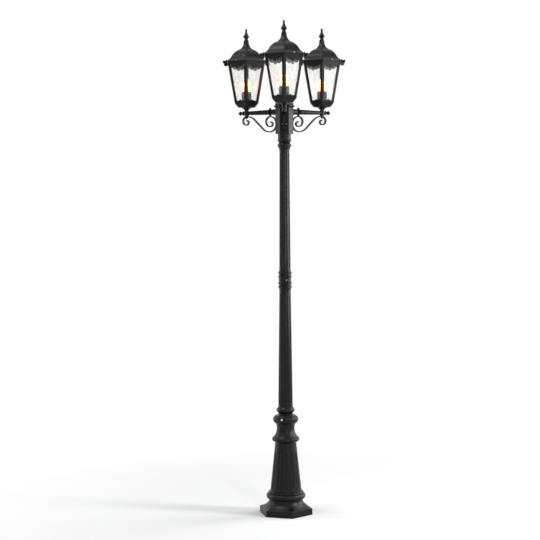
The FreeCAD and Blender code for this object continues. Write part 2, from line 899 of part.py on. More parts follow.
def terminal_block():
    """Three-way connector block on the hub's floor."""
    body = new_body("terminal_block")
    floor = d.collar_top + d.hub_floor
    half, near = d.block_length / 2, d.block_side
    far = near + d.block_width
    plan = outline(new_sketch(body, "plan", offset=floor), [
        (-half, near), (half, near), (half, far), (-half, far),
    ])
    pad(body, plan, d.block_height)
    middle = floor + d.block_height / 2
    spots = [(x, middle, d.block_hole) for x in (-d.block_pitch, as_size(0), d.block_pitch)]
    pocket(body, circles(new_sketch(body, "ways", "XZ_Plane"), spots), far + d.over, away=True)
    return body


# --- arms --------------------------------------------------------------------------------------

def arm(number, angle):
    """Tapered octagonal bar with a wall plate at one end and an upright eye at the other."""
    body = new_body(f"arm_{number}", angle, height=d.arm_axis)
    wall = d.hub_corner * FLAT
    half, low, high = d.plate_width / 2, d.plate_low - d.arm_axis, d.plate_high - d.arm_axis
    plate = outline(new_sketch(body, "plate", "YZ_Plane", wall), [
        (-half, low), (half, low, d.plate_end_round), (half, high), (-half, high, d.plate_end_round),
    ])
    pad(body, plate, d.plate_face - wall)
    for name, first, start, last, end in (
        ("boss", d.boss_corner, d.plate_face, d.arm_root_corner, d.boss_end),
        ("bar", d.arm_root_corner, d.boss_end, d.arm_tip_corner, d.arm_end),
    ):
        loft(body, [
            polygon(body, f"{name}_start", first, start, 8, "YZ_Plane"),
            polygon(body, f"{name}_end", last, end, 8, "YZ_Plane"),
        ], ruled=True)
    low, high = d.eye_low - d.arm_axis, d.eye_high - d.arm_axis
    pad(body, circles(new_sketch(body, "eye", offset=low), [(d.arm_reach, 0, d.eye)]), high - low)
    hole = circles(new_sketch(body, "stem_hole", offset=low - d.over), [(d.arm_reach, 0, d.stem_hole)])
    pocket(body, hole, high + d.over * 2 - low)
    bore = circles(new_sketch(body, "wire_way", "YZ_Plane", wall - d.over), [(0, 0, d.arm_wire_way)])
    pocket(body, bore, d.arm_reach - wall)
    floor = d.arm_end - d.knob_pin_length - d.over
    socket = circles(new_sketch(body, "knob_socket", "YZ_Plane", floor), [(0, 0, d.knob_pin + d.fit)])
    pocket(body, socket, d.arm_end + d.over - floor)
    side, height = d.plate_screw_side, d.plate_screw_height - d.arm_axis
    holes = circles(new_sketch(body, "screw_holes", "YZ_Plane", wall - d.over), [
        (-side, height, d.plate_screw + d.fit), (side, height, d.plate_screw + d.fit),
    ])
    pocket(body, holes, d.plate_face + d.over * 2 - wall)
    return body


def arm_collar(number, angle):
    """Square plate on its corner round the arm, cut flat below for the scroll bar."""
    body = new_body(f"arm_collar_{number}", angle, height=d.arm_axis)
    point, seat = d.arm_collar_point, d.arm_collar_seat
    low = point - seat
    frame = outline(new_sketch(body, "frame", "YZ_Plane", d.arm_collar_at), [
        (point, 0), (0, point), (-point, 0), (-low, -seat), (low, -seat),
    ])
    pad(body, frame, d.arm_collar_thickness)
    hole = polygon(body, "hole", d.arm_collar_hole, d.arm_collar_at, 8, "YZ_Plane")
    pocket(body, hole, d.arm_collar_thickness)
    return body


def arm_knob(number, angle):
    """Turned knob with a pin that closes the arm's free end."""
    body = new_body(f"arm_knob_{number}", angle, height=d.arm_axis)
    end = d.arm_end
    turned(body, "Revolution", "knob", [
        (end - d.knob_pin_length, 0),
        (end - d.knob_pin_length, d.knob_pin),
        (end, d.knob_pin),
        (end, d.knob_collar),
        (end + d.knob_collar_length, d.knob_collar),
        (end + d.knob_waist_start, d.knob_waist),
        (end + d.knob_length - d.knob_ball - ball_seat(d.knob_ball, d.knob_waist), d.knob_waist),
        (end + d.knob_length, 0, -d.knob_ball),
    ], axis="H_Axis")
    return body


def scroll_points():
    """Follow the scroll's turns from its inner end and give its centre line as a chain."""
    x, y, heading = d.scroll_start, d.scroll_height, math.pi
    points = [(x, y)]
    for name, _, turn in SCROLL_TURNS:
        size = getattr(d, name)
        if turn:
            side = math.copysign(1, turn)
            after = heading + math.radians(turn)
            x = x + size * round(side * (math.sin(after) - math.sin(heading)), 9)
            y = y + size * round(side * (math.cos(heading) - math.cos(after)), 9)
            heading = after
            points.append((x, y, size * side))
        else:
            x = x + size * round(math.cos(heading), 9)
            y = y + size * round(math.sin(heading), 9)
            points.append((x, y))
    return points


def scroll_bracket(number, angle):
    """Flat bar wound into scrolls between the arm's plate and its eye."""
    body = new_body(f"scroll_bracket_{number}", angle)
    points = scroll_points()
    wide, thick = d.scroll_width / 2, d.scroll_thickness / 2
    low, high = d.scroll_height - thick, d.scroll_height + thick
    section = outline(new_sketch(body, "section", "YZ_Plane", d.scroll_start), [
        (-wide, low), (wide, low), (wide, high), (-wide, high),
    ])
    spine = outline(new_sketch(body, "spine", "XZ_Plane"), points, closed=False)
    bar = add_feature(body, "AdditivePipe", section)
    bar.Spine = (spine, [""])
    for name, point in (("bud", points[0]), ("tip_bud", points[-1])):
        end = circles(new_sketch(body, name, "XZ_Plane"), [(point[0], point[1], d.scroll_bud)])
        pad(body, end, d.scroll_width, midplane=True)
    hole = circles(new_sketch(body, "stem_hole", offset=d.scroll_hole_low), [(d.arm_reach, 0, d.stem_hole)])
    pocket(body, hole, d.eye_low + d.over - d.scroll_hole_low)
    face = circles(new_sketch(body, "nut_face", offset=d.nut_low),
                   [(d.arm_reach, 0, d.nut_corner + d.nut_relief)])
    pocket(body, face, d.nut_seat - d.nut_low)
    return body


def stem(number, angle):
    """Hollow stud through the arm's eye that carries the lantern and its wires."""
    body = new_body(f"stem_{number}", angle, d.arm_reach)
    rod = circles(new_sketch(body, "rod", offset=d.stem_low), [(0, 0, d.stem)])
    pad(body, rod, d.stem_top - d.stem_low)
    bore = circles(new_sketch(body, "bore", offset=d.stem_wire_floor), [(0, 0, d.stem_wire_way)])
    pocket(body, bore, d.stem_top + d.over - d.stem_wire_floor)
    side = circles(new_sketch(body, "side_hole", "YZ_Plane"), [(0, d.arm_axis, d.stem_wire_way)])
    pocket(body, side, d.stem + d.over, away=True)
    return body


def stem_nuts():
    """Domed nuts that clamp the scrolls, arms and lanterns together."""
    body = new_body("stem_nuts", -90)
    reach = d.arm_reach
    hexagon = pad(body, polygon(body, "hexagon", d.nut_corner, d.nut_low, at=reach), d.nut_seat - d.nut_low)
    tip = d.nut_low - d.nut_ball + ball_seat(d.nut_ball, d.nut_dome)
    dome = turned(body, "Revolution", "dome", [
        (reach, tip),
        (reach + d.nut_dome, d.nut_low, d.nut_ball),
        (reach, d.nut_low),
    ], at=reach)
    depth = d.nut_seat - d.stem_low + d.fit
    bore = circles(new_sketch(body, "bore", offset=d.nut_seat - depth), [(reach, 0, d.stem + d.fit)])
    hole = pocket(body, bore, depth)
    around(body, [hexagon, dome, hole], 3)
    return body


# --- lanterns ----------------------------------------------------------------------------------

def bowl(number, angle):
    """Six-sided dish on a trumpet foot that closes the lantern below."""
    body = new_body(f"bowl_{number}", angle, d.arm_reach)
    turned(body, "Revolution", "foot", [
        (0, d.eye_high),
        (d.bowl_stem, d.eye_high),
        (d.bowl_stem, d.bowl_stem_top),
        (d.bowl_step, d.bowl_step_height, -d.bowl_cone_round),
        (d.bowl_step, d.bowl_foot_height),
        (0, d.bowl_foot_height),
    ])
    loft(body, [
        polygon(body, "foot_plan", d.bowl_foot, d.bowl_foot_height),
        polygon(body, "belly_plan", d.bowl_belly, d.bowl_belly_height),
        polygon(body, "rim_plan", d.bowl_rim, d.bowl_top),
    ], ruled=True)
    pocket(body, polygon(body, "room", d.bowl_room, d.bowl_floor), d.bowl_top + d.over - d.bowl_floor)
    hole = circles(new_sketch(body, "stem_hole", offset=d.eye_high - d.over), [(0, 0, d.stem_hole)])
    pocket(body, hole, d.bowl_top - d.eye_high)
    return body


def cage_corner(height):
    """Corner radius of the cage's sloping outside at a height."""
    slope = (d.cage_high_corner - d.cage_low_corner) / (d.cage_top - d.bowl_top)
    return d.cage_low_corner + slope * (height - d.bowl_top)


def cage(number, angle):
    """Tapered six-sided frame with an open window in each side and a ring for the roof."""
    body = new_body(f"cage_{number}", angle, d.arm_reach)
    flange = d.cage_top - d.cage_flange
    loft(body, [
        polygon(body, "foot", d.cage_low_corner, d.bowl_top),
        polygon(body, "head", d.cage_high_corner, d.cage_top),
    ], ruled=True)
    pad(body, polygon(body, "upstand", d.upstand_corner, d.cage_top), d.upstand_top - d.cage_top)
    loft(body, [
        polygon(body, "room_low", cage_corner(d.bowl_top) - d.cage_wall, d.bowl_top),
        polygon(body, "room_high", cage_corner(flange) - d.cage_wall, flange),
    ], kind="SubtractiveLoft", ruled=True)
    pocket(body, polygon(body, "mouth", d.upstand_inner, flange), d.upstand_top + d.over - flange)
    cut = pocket(body, window(body), d.cage_high_corner, away=True)
    around(body, [cut], 6)
    return body


def window(body):
    """Outline of a window: a crest on its sill and three lobes under its head."""
    low = cage_corner(d.window_low) / 2 - d.bar_face
    high = cage_corner(d.window_high) / 2 - d.bar_face
    near, far, drop = d.lobe_near, d.lobe_far, d.drop_half
    crest, top = d.crest_half, d.valance
    return outline(new_sketch(body, "window", "XZ_Plane"), [
        (-low, d.window_low),
        (-crest, d.window_low),
        (0, d.window_low + d.crest_rise, d.crest_round),
        (crest, d.window_low, d.crest_round),
        (low, d.window_low),
        (high, d.window_high),
        (far, top),
        (near, top, -d.lobe_round),
        (drop, d.drop_start),
        (-drop, d.drop_start, -d.drop_round),
        (-near, top),
        (-far, top, -d.lobe_round),
        (-high, d.window_high),
    ])


def glass_panes(number, angle):
    """Six flat panes that stand inside the cage, parted at its corners."""
    body = new_body(f"glass_panes_{number}", angle, d.arm_reach)
    low, high = d.bowl_top + d.pane_seat, d.cage_top - d.cage_flange - d.pane_seat
    inset = d.cage_wall + d.pane_seat
    for name, kind, depth in (
        ("outside", "AdditiveLoft", inset),
        ("inside", "SubtractiveLoft", inset + d.pane_thickness / FLAT),
    ):
        loft(body, [
            polygon(body, f"{name}_low", cage_corner(low) - depth, low),
            polygon(body, f"{name}_high", cage_corner(high) - depth, high),
        ], kind=kind, ruled=True)
    half = d.pane_slot / 2
    slot = outline(new_sketch(body, "slot", offset=low - d.over), [
        (d.pane_slot_start, -half), (d.cage_high_corner, -half),
        (d.cage_high_corner, half), (d.pane_slot_start, half),
    ])
    around(body, [pocket(body, slot, high + d.over * 2 - low)], 6)
    return body


def lampholder(number, angle):
    """Round lampholder with a notched rim, open above for the lamp's cap."""
    body = new_body(f"lampholder_{number}", angle, d.arm_reach)
    turned(body, "Revolution", "holder", [
        (d.stem_hole, d.bowl_floor),
        (d.holder_base, d.bowl_floor),
        (d.holder_base, d.holder_base_top),
        (d.holder_skirt_low, d.holder_base_top),
        (d.holder_skirt, d.holder_skirt_height),
        (d.holder_skirt, d.holder_top),
        (d.holder_bore, d.holder_top),
        (d.holder_bore, d.holder_bore_low),
        (d.stem_hole, d.holder_bore_low),
    ])
    half = d.holder_notch / 2
    notch = outline(new_sketch(body, "notch", offset=d.holder_top - d.holder_notch_depth), [
        (d.holder_bore - d.over, -half), (d.holder_skirt + d.over, -half),
        (d.holder_skirt + d.over, half), (d.holder_bore - d.over, half),
    ])
    around(body, [pocket(body, notch, d.holder_notch_depth + d.over)], d.holder_notch_count)
    return body


def bulb_cap(number, angle):
    """Metal cap of the lamp, with the contact pip below."""
    body = new_body(f"bulb_cap_{number}", angle, d.arm_reach)
    turned(body, "Revolution", "cap", [
        (0, d.cap_low - d.cap_pip_rise),
        (d.cap_pip, d.cap_low - d.cap_pip_rise),
        (d.cap_radius, d.cap_low),
        (d.cap_radius, d.filament_low),
        (0, d.filament_low),
    ])
    return body


def bulb_glass(number, angle):
    """Candle-shaped glass envelope, open where it meets the cap."""
    body = new_body(f"bulb_glass_{number}", angle, d.arm_reach)
    wall = d.bulb_glass
    tip_height = d.bulb_top - d.bulb_ball + ball_seat(d.bulb_ball, d.bulb_tip)
    turned(body, "Revolution", "envelope", [
        (d.bulb_neck - wall, d.filament_low),
        (d.bulb_neck, d.filament_low),
        (d.bulb_side, d.bulb_side_height),
        (d.bulb_shoulder, d.bulb_shoulder_height, d.bulb_belly_round),
        (d.bulb_tip, tip_height),
        (0, d.bulb_top, d.bulb_ball),
        (0, d.bulb_top - wall),
        (d.bulb_tip - wall, tip_height - wall),
        (d.bulb_shoulder - wall, d.bulb_shoulder_height),
        (d.bulb_side - wall, d.bulb_side_height, wall - d.bulb_belly_round),
    ])
    return body


def filament(number, angle):
    """Post and crosspiece inside the lamp with two upright filament sticks."""
    body = new_body(f"filament_{number}", angle, d.arm_reach)
    post = circles(new_sketch(body, "post", offset=d.filament_low), [(0, 0, d.filament_stem)])
    pad(body, post, d.filament_mid - d.filament_low)
    half, reach = d.filament_width / 2, d.filament_half
    bridge = outline(new_sketch(body, "bridge", offset=d.filament_mid), [
        (-reach - half, -half), (reach + half, -half), (reach + half, half), (-reach - half, half),
    ])
    pad(body, bridge, d.filament_bridge)
    for name, middle in (("left", -reach), ("right", reach)):
        stick = outline(new_sketch(body, name, offset=d.filament_mid + d.filament_bridge), [
            (middle - half, -half), (middle + half, -half), (middle + half, half), (middle - half, half),
        ])
        pad(body, stick, d.filament_high - d.filament_mid)
    return body


# --- roofs -------------------------------------------------------------------------------------

def roof(number, angle, facet):
    """Six-sided roof of three arcs, with a leaf at each corner of its eave."""
    body = new_body(f"roof_{number}", angle, d.arm_reach)
    pad(body, polygon(body, "block", d.eave_corner, d.eave_low), d.crown_height - d.eave_low)
    cut = pocket(body, slope(body), d.eave_corner * 2, midplane=True)
    around(body, [cut], 6)
    spigot = circles(new_sketch(body, "spigot", offset=d.crown_height), [(0, 0, d.spigot)])
    pad(body, spigot, d.spigot_length)
    around(body, [pad(body, leaf(body), d.leaf_thickness, midplane=True)], 6)
    hollow_roof(body)
    holes = []
    for name, start, radius in (
        ("thread", as_size(0), d.roof_screw + d.fit),
        ("counterbore", d.roof_screw_seat, d.roof_screw_head + d.fit),
    ):
        spot = [(0, d.roof_screw_height, radius)]
        sketch = circles(new_sketch(body, name, "YZ_Plane", start, facet), spot)
        holes.append(pocket(body, sketch, d.eave_corner - start))
    around(body, holes, 3)
    return body


def slope(body):
    """Outline of what is cut away outside one side of the roof, seen along the eave."""
    far = d.eave_corner + d.over
    return outline(new_sketch(body, "slope", "XZ_Plane", turn=30), [
        (d.eave_corner * FLAT, d.eave_high),
        (d.slope_foot, d.slope_foot_height, -d.slope_foot_round),
        (d.shoulder, d.shoulder_height, d.shoulder_round),
        (d.crown_corner * FLAT, d.crown_height, -d.crown_round),
        (d.crown_corner * FLAT, d.crown_height + d.over),
        (far, d.crown_height + d.over),
        (far, d.eave_high),
    ])


def hollow_roof(body):
    """Cut the skirt's room, the ring's room and the space under the slopes."""
    seat = d.cage_top + d.seat_gap
    skirt = polygon(body, "skirt_room", d.cage_high_corner + d.rim_gap, d.eave_low - d.over)
    pocket(body, skirt, seat + d.over - d.eave_low)
    ring, ring_top = d.upstand_corner + d.rim_gap, d.upstand_top + d.rim_gap
    pocket(body, polygon(body, "ring_room", ring, seat), ring_top - seat)
    room = [(ring, ring_top)]
    for step in range(1, len(ROOF_ROOM) + 1):
        room.append((getattr(d, f"room_corner_{step}"), getattr(d, f"room_height_{step}")))
    sections = [polygon(body, f"room_{step}", *place) for step, place in enumerate(room)]
    loft(body, sections, kind="SubtractiveLoft", ruled=True)


def leaf(body):
    """Outline of a corner leaf with the spur on its back."""
    return outline(new_sketch(body, "leaf", "XZ_Plane"), [
        (d.leaf_inner, d.leaf_low),
        (d.leaf_belly, d.leaf_belly_height),
        (d.leaf_tip, d.leaf_tip_height, d.leaf_round),
        (d.leaf_back, d.leaf_back_height),
        (d.spike_foot, d.leaf_back_height),
        (d.spike, d.spike_top),
        (d.leaf_inner, d.leaf_back_height),
    ])


def finial(number, angle):
    """Turned finial that fits over the roof's spigot."""
    body = new_body(f"finial_{number}", angle, d.arm_reach)
    bore, bore_top = d.spigot + d.fit, d.crown_height + d.spigot_length + d.fit
    neck_height = d.finial_top - d.finial_ball - ball_seat(d.finial_ball, d.finial_neck)
    turned(body, "Revolution", "finial", [
        (bore, d.crown_height),
        (d.finial_seat, d.crown_height),
        (d.finial_seat, d.finial_seat_high, d.finial_seat_round),
        (d.finial_waist, d.finial_waist_height, -d.finial_cone_round),
        (d.finial_bulb, d.finial_bulb_low),
        (d.finial_bulb, d.finial_bulb_high),
        (d.finial_neck, neck_height, -d.finial_cone_round),
        (0, d.finial_top, d.finial_ball),
        (0, bore_top),
        (bore, bore_top),
    ])
    return body


def roof_screws(number, angle, facet):
    """Three screws through the roof's eave that point at the cage's ring."""
    body = new_body(f"roof_screws_{number}", angle, d.arm_reach)
    studs = []
    for name, start, end, radius in (
        ("shank", d.roof_screw_tip, d.roof_screw_seat, d.roof_screw),
        ("head", d.roof_screw_seat, d.roof_screw_end, d.roof_screw_head),
    ):
        spot = [(0, d.roof_screw_height, radius)]
        sketch = circles(new_sketch(body, name, "YZ_Plane", start, facet), spot)
        studs.append(pad(body, sketch, end - start))
    around(body, studs, 3)
    return body


# --- build, check and write --------------------------------------------------------------------

def build_nodes():
    """Make every sub-part of the post."""
    nodes = [make() for make in (
        foot_casting, lower_pole, pole_coupling, upper_pole, top_collar, hub, hub_cap,
        set_screws, bracket_screws, terminal_block, stem_nuts,
    )]
    for number, (angle, facet) in enumerate(zip(ARM_ANGLES, ROOF_SCREW_FACETS), start=1):
        nodes += [make(number, angle) for make in (
            arm, arm_collar, arm_knob, scroll_bracket, stem, bowl, cage, glass_panes,
            lampholder, bulb_cap, bulb_glass, filament, finial,
        )]
        nodes += [make(number, angle, facet) for make in (roof, roof_screws)]
    return nodes


def write_nodes(nodes):
    """Check every object's state and every node's solids, then write the nodes as STEP files."""
    os.makedirs("parts", exist_ok=True)
    doc.recompute()
    for item in doc.Objects:
        if {"Invalid", "Error"} & set(item.State):
            raise RuntimeError(f"{item.Label} did not compute: {item.State}")
    for node in nodes:
        shape = node.Shape
        if shape.isNull() or not shape.Solids or not shape.isValid():
            raise RuntimeError(f"{node.Label} has no sound solid")
        shape.exportStep(f"parts/{node.Label}.step")
        print(f"{node.Label}: {len(shape.Solids)} solids, {shape.Volume / 1000:.1f} cm3")


write_nodes(build_nodes())
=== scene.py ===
"""Dress the triple head lamp post: finishes for the CAD nodes, small added pieces and the studio.

Everything is in metres, in the CAD's frame: +Z up, the first arm along -Y, ground at Z = 0.
"""

import json
import logging
import math
from collections.abc import Callable
from dataclasses import dataclass
from enum import Enum

import bpy
import bmesh
from mathutils import Matrix, Vector

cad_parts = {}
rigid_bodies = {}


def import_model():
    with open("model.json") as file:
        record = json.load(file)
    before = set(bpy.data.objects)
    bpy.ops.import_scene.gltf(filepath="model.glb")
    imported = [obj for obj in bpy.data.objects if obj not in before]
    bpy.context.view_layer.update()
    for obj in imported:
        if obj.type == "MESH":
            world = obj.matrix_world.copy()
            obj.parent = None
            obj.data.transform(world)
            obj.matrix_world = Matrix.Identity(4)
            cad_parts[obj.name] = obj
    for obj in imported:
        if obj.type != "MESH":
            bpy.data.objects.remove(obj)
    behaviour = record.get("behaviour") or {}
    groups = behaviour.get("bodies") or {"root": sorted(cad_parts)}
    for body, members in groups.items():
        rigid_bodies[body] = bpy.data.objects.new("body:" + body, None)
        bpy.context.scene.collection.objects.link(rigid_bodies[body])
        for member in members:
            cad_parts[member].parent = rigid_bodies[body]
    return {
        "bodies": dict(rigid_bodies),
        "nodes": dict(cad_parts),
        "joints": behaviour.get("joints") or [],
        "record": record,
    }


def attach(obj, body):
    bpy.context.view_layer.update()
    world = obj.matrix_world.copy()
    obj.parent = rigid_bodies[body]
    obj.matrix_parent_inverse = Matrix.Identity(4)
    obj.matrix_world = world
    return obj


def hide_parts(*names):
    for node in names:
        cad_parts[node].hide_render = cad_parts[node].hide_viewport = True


LOG = logging.getLogger("lamp_post")
MM = 0.001
WHITE = (1.0, 1.0, 1.0, 1.0)


class Head(Enum):
    """The three lanterns, each with its arm's angle and its first roof screw's facet."""

    FRONT = (1, 270.0, 30.0)
    RIGHT = (2, 30.0, 30.0)
    LEFT = (3, 150.0, 90.0)

    @property
    def number(self) -> int:
        """Number that ends the names of this lantern's nodes."""
        return self.value[0]

    @property
    def angle(self) -> float:
        """Angle of the arm about the post, in degrees from +X."""
        return self.value[1]

    @property
    def facet(self) -> float:
        """Angle of the first screwed roof facet from the arm's direction, in degrees."""
        return self.value[2]


# --- shader nodes ------------------------------------------------------------------------------


class Term:
    """A socket that does sums: an expression on terms adds its Math nodes."""

    def __init__(self, bench: "Bench", socket: bpy.types.NodeSocket) -> None:
        """Wrap a socket of a bench's tree.

        Args:
            bench: The bench that makes the nodes.
            socket: The output socket to wrap.
        """
        self.bench = bench
        self.socket = socket

    def sum_with(self, operation: str, first: "Term | float", second: "Term | float") -> "Term":
        """Add a Math node.

        Args:
            operation: The Math node's operation.
            first: Its first value.
            second: Its second value.

        Returns:
            The result as a term.
        """
        return self.bench.node("ShaderNodeMath", {"operation": operation}, {0: first, 1: second})

    def __add__(self, other: "Term | float") -> "Term":
        """Sum."""
        return self.sum_with("ADD", self, other)

    def __radd__(self, other: float) -> "Term":
        """Sum, from the right."""
        return self.sum_with("ADD", other, self)

    def __sub__(self, other: "Term | float") -> "Term":
        """Difference."""
        return self.sum_with("SUBTRACT", self, other)

    def __rsub__(self, other: float) -> "Term":
        """Difference, from the right."""
        return self.sum_with("SUBTRACT", other, self)

    def __mul__(self, other: "Term | float") -> "Term":
        """Product."""
        return self.sum_with("MULTIPLY", self, other)

    def __rmul__(self, other: float) -> "Term":
        """Product, from the right."""
        return self.sum_with("MULTIPLY", other, self)

    def between(self, low: float, high: float) -> "Term":
        """The term kept between two levels."""
        return self.sum_with("MINIMUM", self.sum_with("MAXIMUM", self, low), high)

    def above(self, level: float) -> "Term":
        """One where the term is over a level, else nought."""
        return self.sum_with("GREATER_THAN", self, level)


class Bench:
    """Workbench for the nodes of one material or world."""

    def __init__(self, owner: bpy.types.Material | bpy.types.World) -> None:
        """Clear the owner's nodes.

        Args:
            owner: What the nodes belong to.
        """
        self.owner = owner
        owner.use_nodes = True
        self.tree = owner.node_tree
        self.tree.nodes.clear()

    def node(
        self,
        kind: str,
        settings: dict | None = None,
        values: dict | None = None,
        output: int | str = 0,
    ) -> Term:
        """Make any node.

        Args:
            kind: The node's type.
            settings: Properties of the node, set first.
            values: Numbers, colours, vectors or terms for its sockets, by name or index.
            output: The output socket to hand back.

        Returns:
            The chosen output as a term.
        """
        made = self.tree.nodes.new(kind)
        for name, value in (settings or {}).items():
            setattr(made, name, value)
        for name, value in (values or {}).items():
            if isinstance(value, Term):
                self.tree.links.new(value.socket, made.inputs[name])
            else:
                made.inputs[name].default_value = value
        return Term(self, made.outputs[output]) if len(made.outputs) else Term(self, None)

    def place(self, scale: tuple = (1.0, 1.0, 1.0)) -> Term:
        """Object coordinates for a pattern.

        Args:
            scale: Factors along the three axes.

        Returns:
            The scaled coordinates.
        """
        found = self.node("ShaderNodeTexCoord", output="Object")
        return self.node("ShaderNodeMapping", values={"Vector": found, "Scale": scale})

    def seen(self) -> Term:
        """One for rays from the camera, a glossy face or through glass, else nought.

        Returns:
            The flag.
        """
        flags = [
            self.node("ShaderNodeLightPath", output=name)
            for name in ("Is Camera Ray", "Is Glossy Ray", "Is Transmission Ray")
        ]
        return (flags[0] + flags[1] + flags[2]).above(0.5)

    def noise(self, where: Term, scale: float, detail: float = 3.0, rough: float = 0.5) -> Term:
        """Cloudy noise between 0 and 1.

        Args:
            where: The coordinates.
            scale: Cells per metre.
            detail: Octaves.
            rough: Weight of the finer octaves.

        Returns:
            The noise's value.
        """
        values = {"Vector": where, "Scale": scale, "Detail": detail, "Roughness": rough}
        return self.node("ShaderNodeTexNoise", values=values)

    def blend(self, share: Term, low: tuple, high: tuple) -> Term:
        """Mix two colours.

        Args:
            share: How much of the second colour, 0 to 1.
            low: The first colour.
            high: The second colour.

        Returns:
            The mixed colour.
        """
        settings = {"data_type": "RGBA", "clamp_factor": True}
        return self.node("ShaderNodeMix", settings, {0: share, 6: (*low, 1.0), 7: (*high, 1.0)}, 2)

    def bump(self, height: Term, depth: float) -> Term:
        """Turn a height into a normal.

        Args:
            height: Height between 0 and 1.
            depth: What a height of 1 stands for, in metres.

        Returns:
            The normal.
        """
        values = {"Height": height, "Distance": depth, "Strength": 1.0}
        return self.node("ShaderNodeBump", values=values)

    def finish(self, shader: Term) -> bpy.types.Material | bpy.types.World:
        """Send a shader to the output.

        Args:
            shader: The last shader.

        Returns:
            The material or world.
        """
        kind = "World" if isinstance(self.owner, bpy.types.World) else "Material"
        self.node(f"ShaderNodeOutput{kind}", values={"Surface": shader})
        return self.owner


def new_bench(name: str) -> Bench:
    """Workbench for a new material.

    Args:
        name: The material's name.

    Returns:
        The bench.
    """
    return Bench(bpy.data.materials.new(name))


# --- finishes ----------------------------------------------------------------------------------


@dataclass(frozen=True)
class Paint:
    """Satin paint on cast or drawn metal: faint lumps of the casting under a fine skin."""

    name: str
    dark: tuple = (0.0040, 0.0041, 0.0045)
    light: tuple = (0.0085, 0.0087, 0.0094)
    rough: float = 0.33
    rough_spread: float = 0.12
    gloss: float = 0.16
    lump_scale: float = 55.0
    lump_depth: float = 0.00025
    skin_scale: float = 900.0
    skin_depth: float = 0.00004
    cloud_scale: float = 9.0

    def material(self) -> bpy.types.Material:
        """Build the paint.

        Returns:
            The material.
        """
        bench = new_bench(self.name)
        where = bench.place()
        lumps = bench.noise(where, self.lump_scale, 4.0)
        skin = bench.noise(where, self.skin_scale, 2.0)
        cloud = bench.noise(where, self.cloud_scale)
        worn = bench.bump(skin, self.skin_depth)
        normal = bench.node(
            "ShaderNodeBump", values={"Height": lumps, "Distance": self.lump_depth, "Normal": worn}
        )
        rough = (cloud * 0.5 + skin * 0.5 - 0.5) * self.rough_spread + self.rough
        shader = bench.node(
            "ShaderNodeBsdfPrincipled",
            values={
                "Base Color": bench.blend(cloud, self.dark, self.light),
                "Roughness": rough,
                "Normal": normal,
                "Specular IOR Level": self.gloss,
            },
        )
        return bench.finish(shader)


@dataclass(frozen=True)
class Plate:
    """Bright plated or turned metal with fine scratches."""

    name: str
    colour: tuple = (0.72, 0.72, 0.7)
    dull: tuple = (0.5, 0.5, 0.49)
    rough: float = 0.24
    rough_spread: float = 0.18
    scratch_scale: tuple = (400.0, 400.0, 60.0)
    scratch_depth: float = 0.00004
    cloud_scale: float = 160.0

    def material(self) -> bpy.types.Material:
        """Build the plated metal.

        Returns:
            The material.
        """
        bench = new_bench(self.name)
        scratches = bench.noise(bench.place(scale=self.scratch_scale), 4.0, 4.0)
        cloud = bench.noise(bench.place(), self.cloud_scale)
        shader = bench.node(
            "ShaderNodeBsdfPrincipled",
            values={
                "Base Color": bench.blend(cloud, self.dull, self.colour),
                "Metallic": 1.0,
                "Roughness": self.rough + scratches * self.rough_spread,
                "Normal": bench.bump(scratches, self.scratch_depth),
            },
        )
        return bench.finish(shader)


@dataclass(frozen=True)
class Moulded:
    """Moulded plastic with a faint grain."""

    name: str
    colour: tuple
    rough: float = 0.45
    rough_spread: float = 0.15
    grain_scale: float = 1200.0
    grain_depth: float = 0.00005
    pale_factor: float = 1.5
    pale_lift: float = 0.004
    gloss: float = 0.5

    def material(self) -> bpy.types.Material:
        """Build the plastic.

        Returns:
            The material.
        """
        bench = new_bench(self.name)
        grain = bench.noise(bench.place(), self.grain_scale)
        pale = tuple(
            min(1.0, channel * self.pale_factor + self.pale_lift) for channel in self.colour
        )
        shader = bench.node(
            "ShaderNodeBsdfPrincipled",
            values={
                "Base Color": bench.blend(grain, self.colour, pale),
                "Roughness": self.rough + grain * self.rough_spread,
                "Normal": bench.bump(grain, self.grain_depth),
                "Specular IOR Level": self.gloss,
            },
        )
        return bench.finish(shader)


@dataclass(frozen=True)
class RippledGlass:
    """Clear rolled glass: slow ripples that catch the light, with a few paler clouds."""

    name: str
    tint: tuple = (0.86, 0.87, 0.85)
    stretch: tuple = (1.0, 1.0, 0.6)
    ripple_scale: float = 70.0
    ripple_depth: float = 0.003
    ripple_share: float = 0.6
    cell_factor: float = 1.4
    cell_share: float = 0.5
    cell_level: float = 0.45
    cell_milk: float = 0.35
    cloud_scale: float = 26.0
    cloud_level: float = 0.42
    cloud_milk: float = 1.5
    thinnest: float = 0.06
    thickest: float = 0.32
    rough: float = 0.06
    rough_spread: float = 0.06

    def material(self) -> bpy.types.Material:
        """Build the glass.

        Returns:
            The material.
        """
        bench = new_bench(self.name)
        where = bench.place(scale=self.stretch)
        slow = bench.noise(where, self.ripple_scale, detail=1.5, rough=0.4)
        cloud = bench.noise(where, self.cloud_scale, detail=2.0, rough=0.6)
        cells = bench.node(
            "ShaderNodeTexVoronoi",
            {"feature": "SMOOTH_F1"},
            {"Vector": where, "Scale": self.ripple_scale * self.cell_factor, "Smoothness": 0.8},
        )
        height = slow * self.ripple_share + cells * self.cell_share
        cloud_part = (cloud - self.cloud_level) * self.cloud_milk
        milk = cloud_part + (cells - self.cell_level) * self.cell_milk
        glaze = bench.node(
            "ShaderNodeBsdfPrincipled",
            values={
                "Base Color": (*self.tint, 1.0),
                "Roughness": self.rough + slow * self.rough_spread,
                "Normal": bench.bump(height, self.ripple_depth),
                "Alpha": milk.between(0.0, 1.0) * (self.thickest - self.thinnest) + self.thinnest,
                "IOR": 1.5,
                "Specular IOR Level": 0.6,
            },
        )
        return bench.finish(glaze)


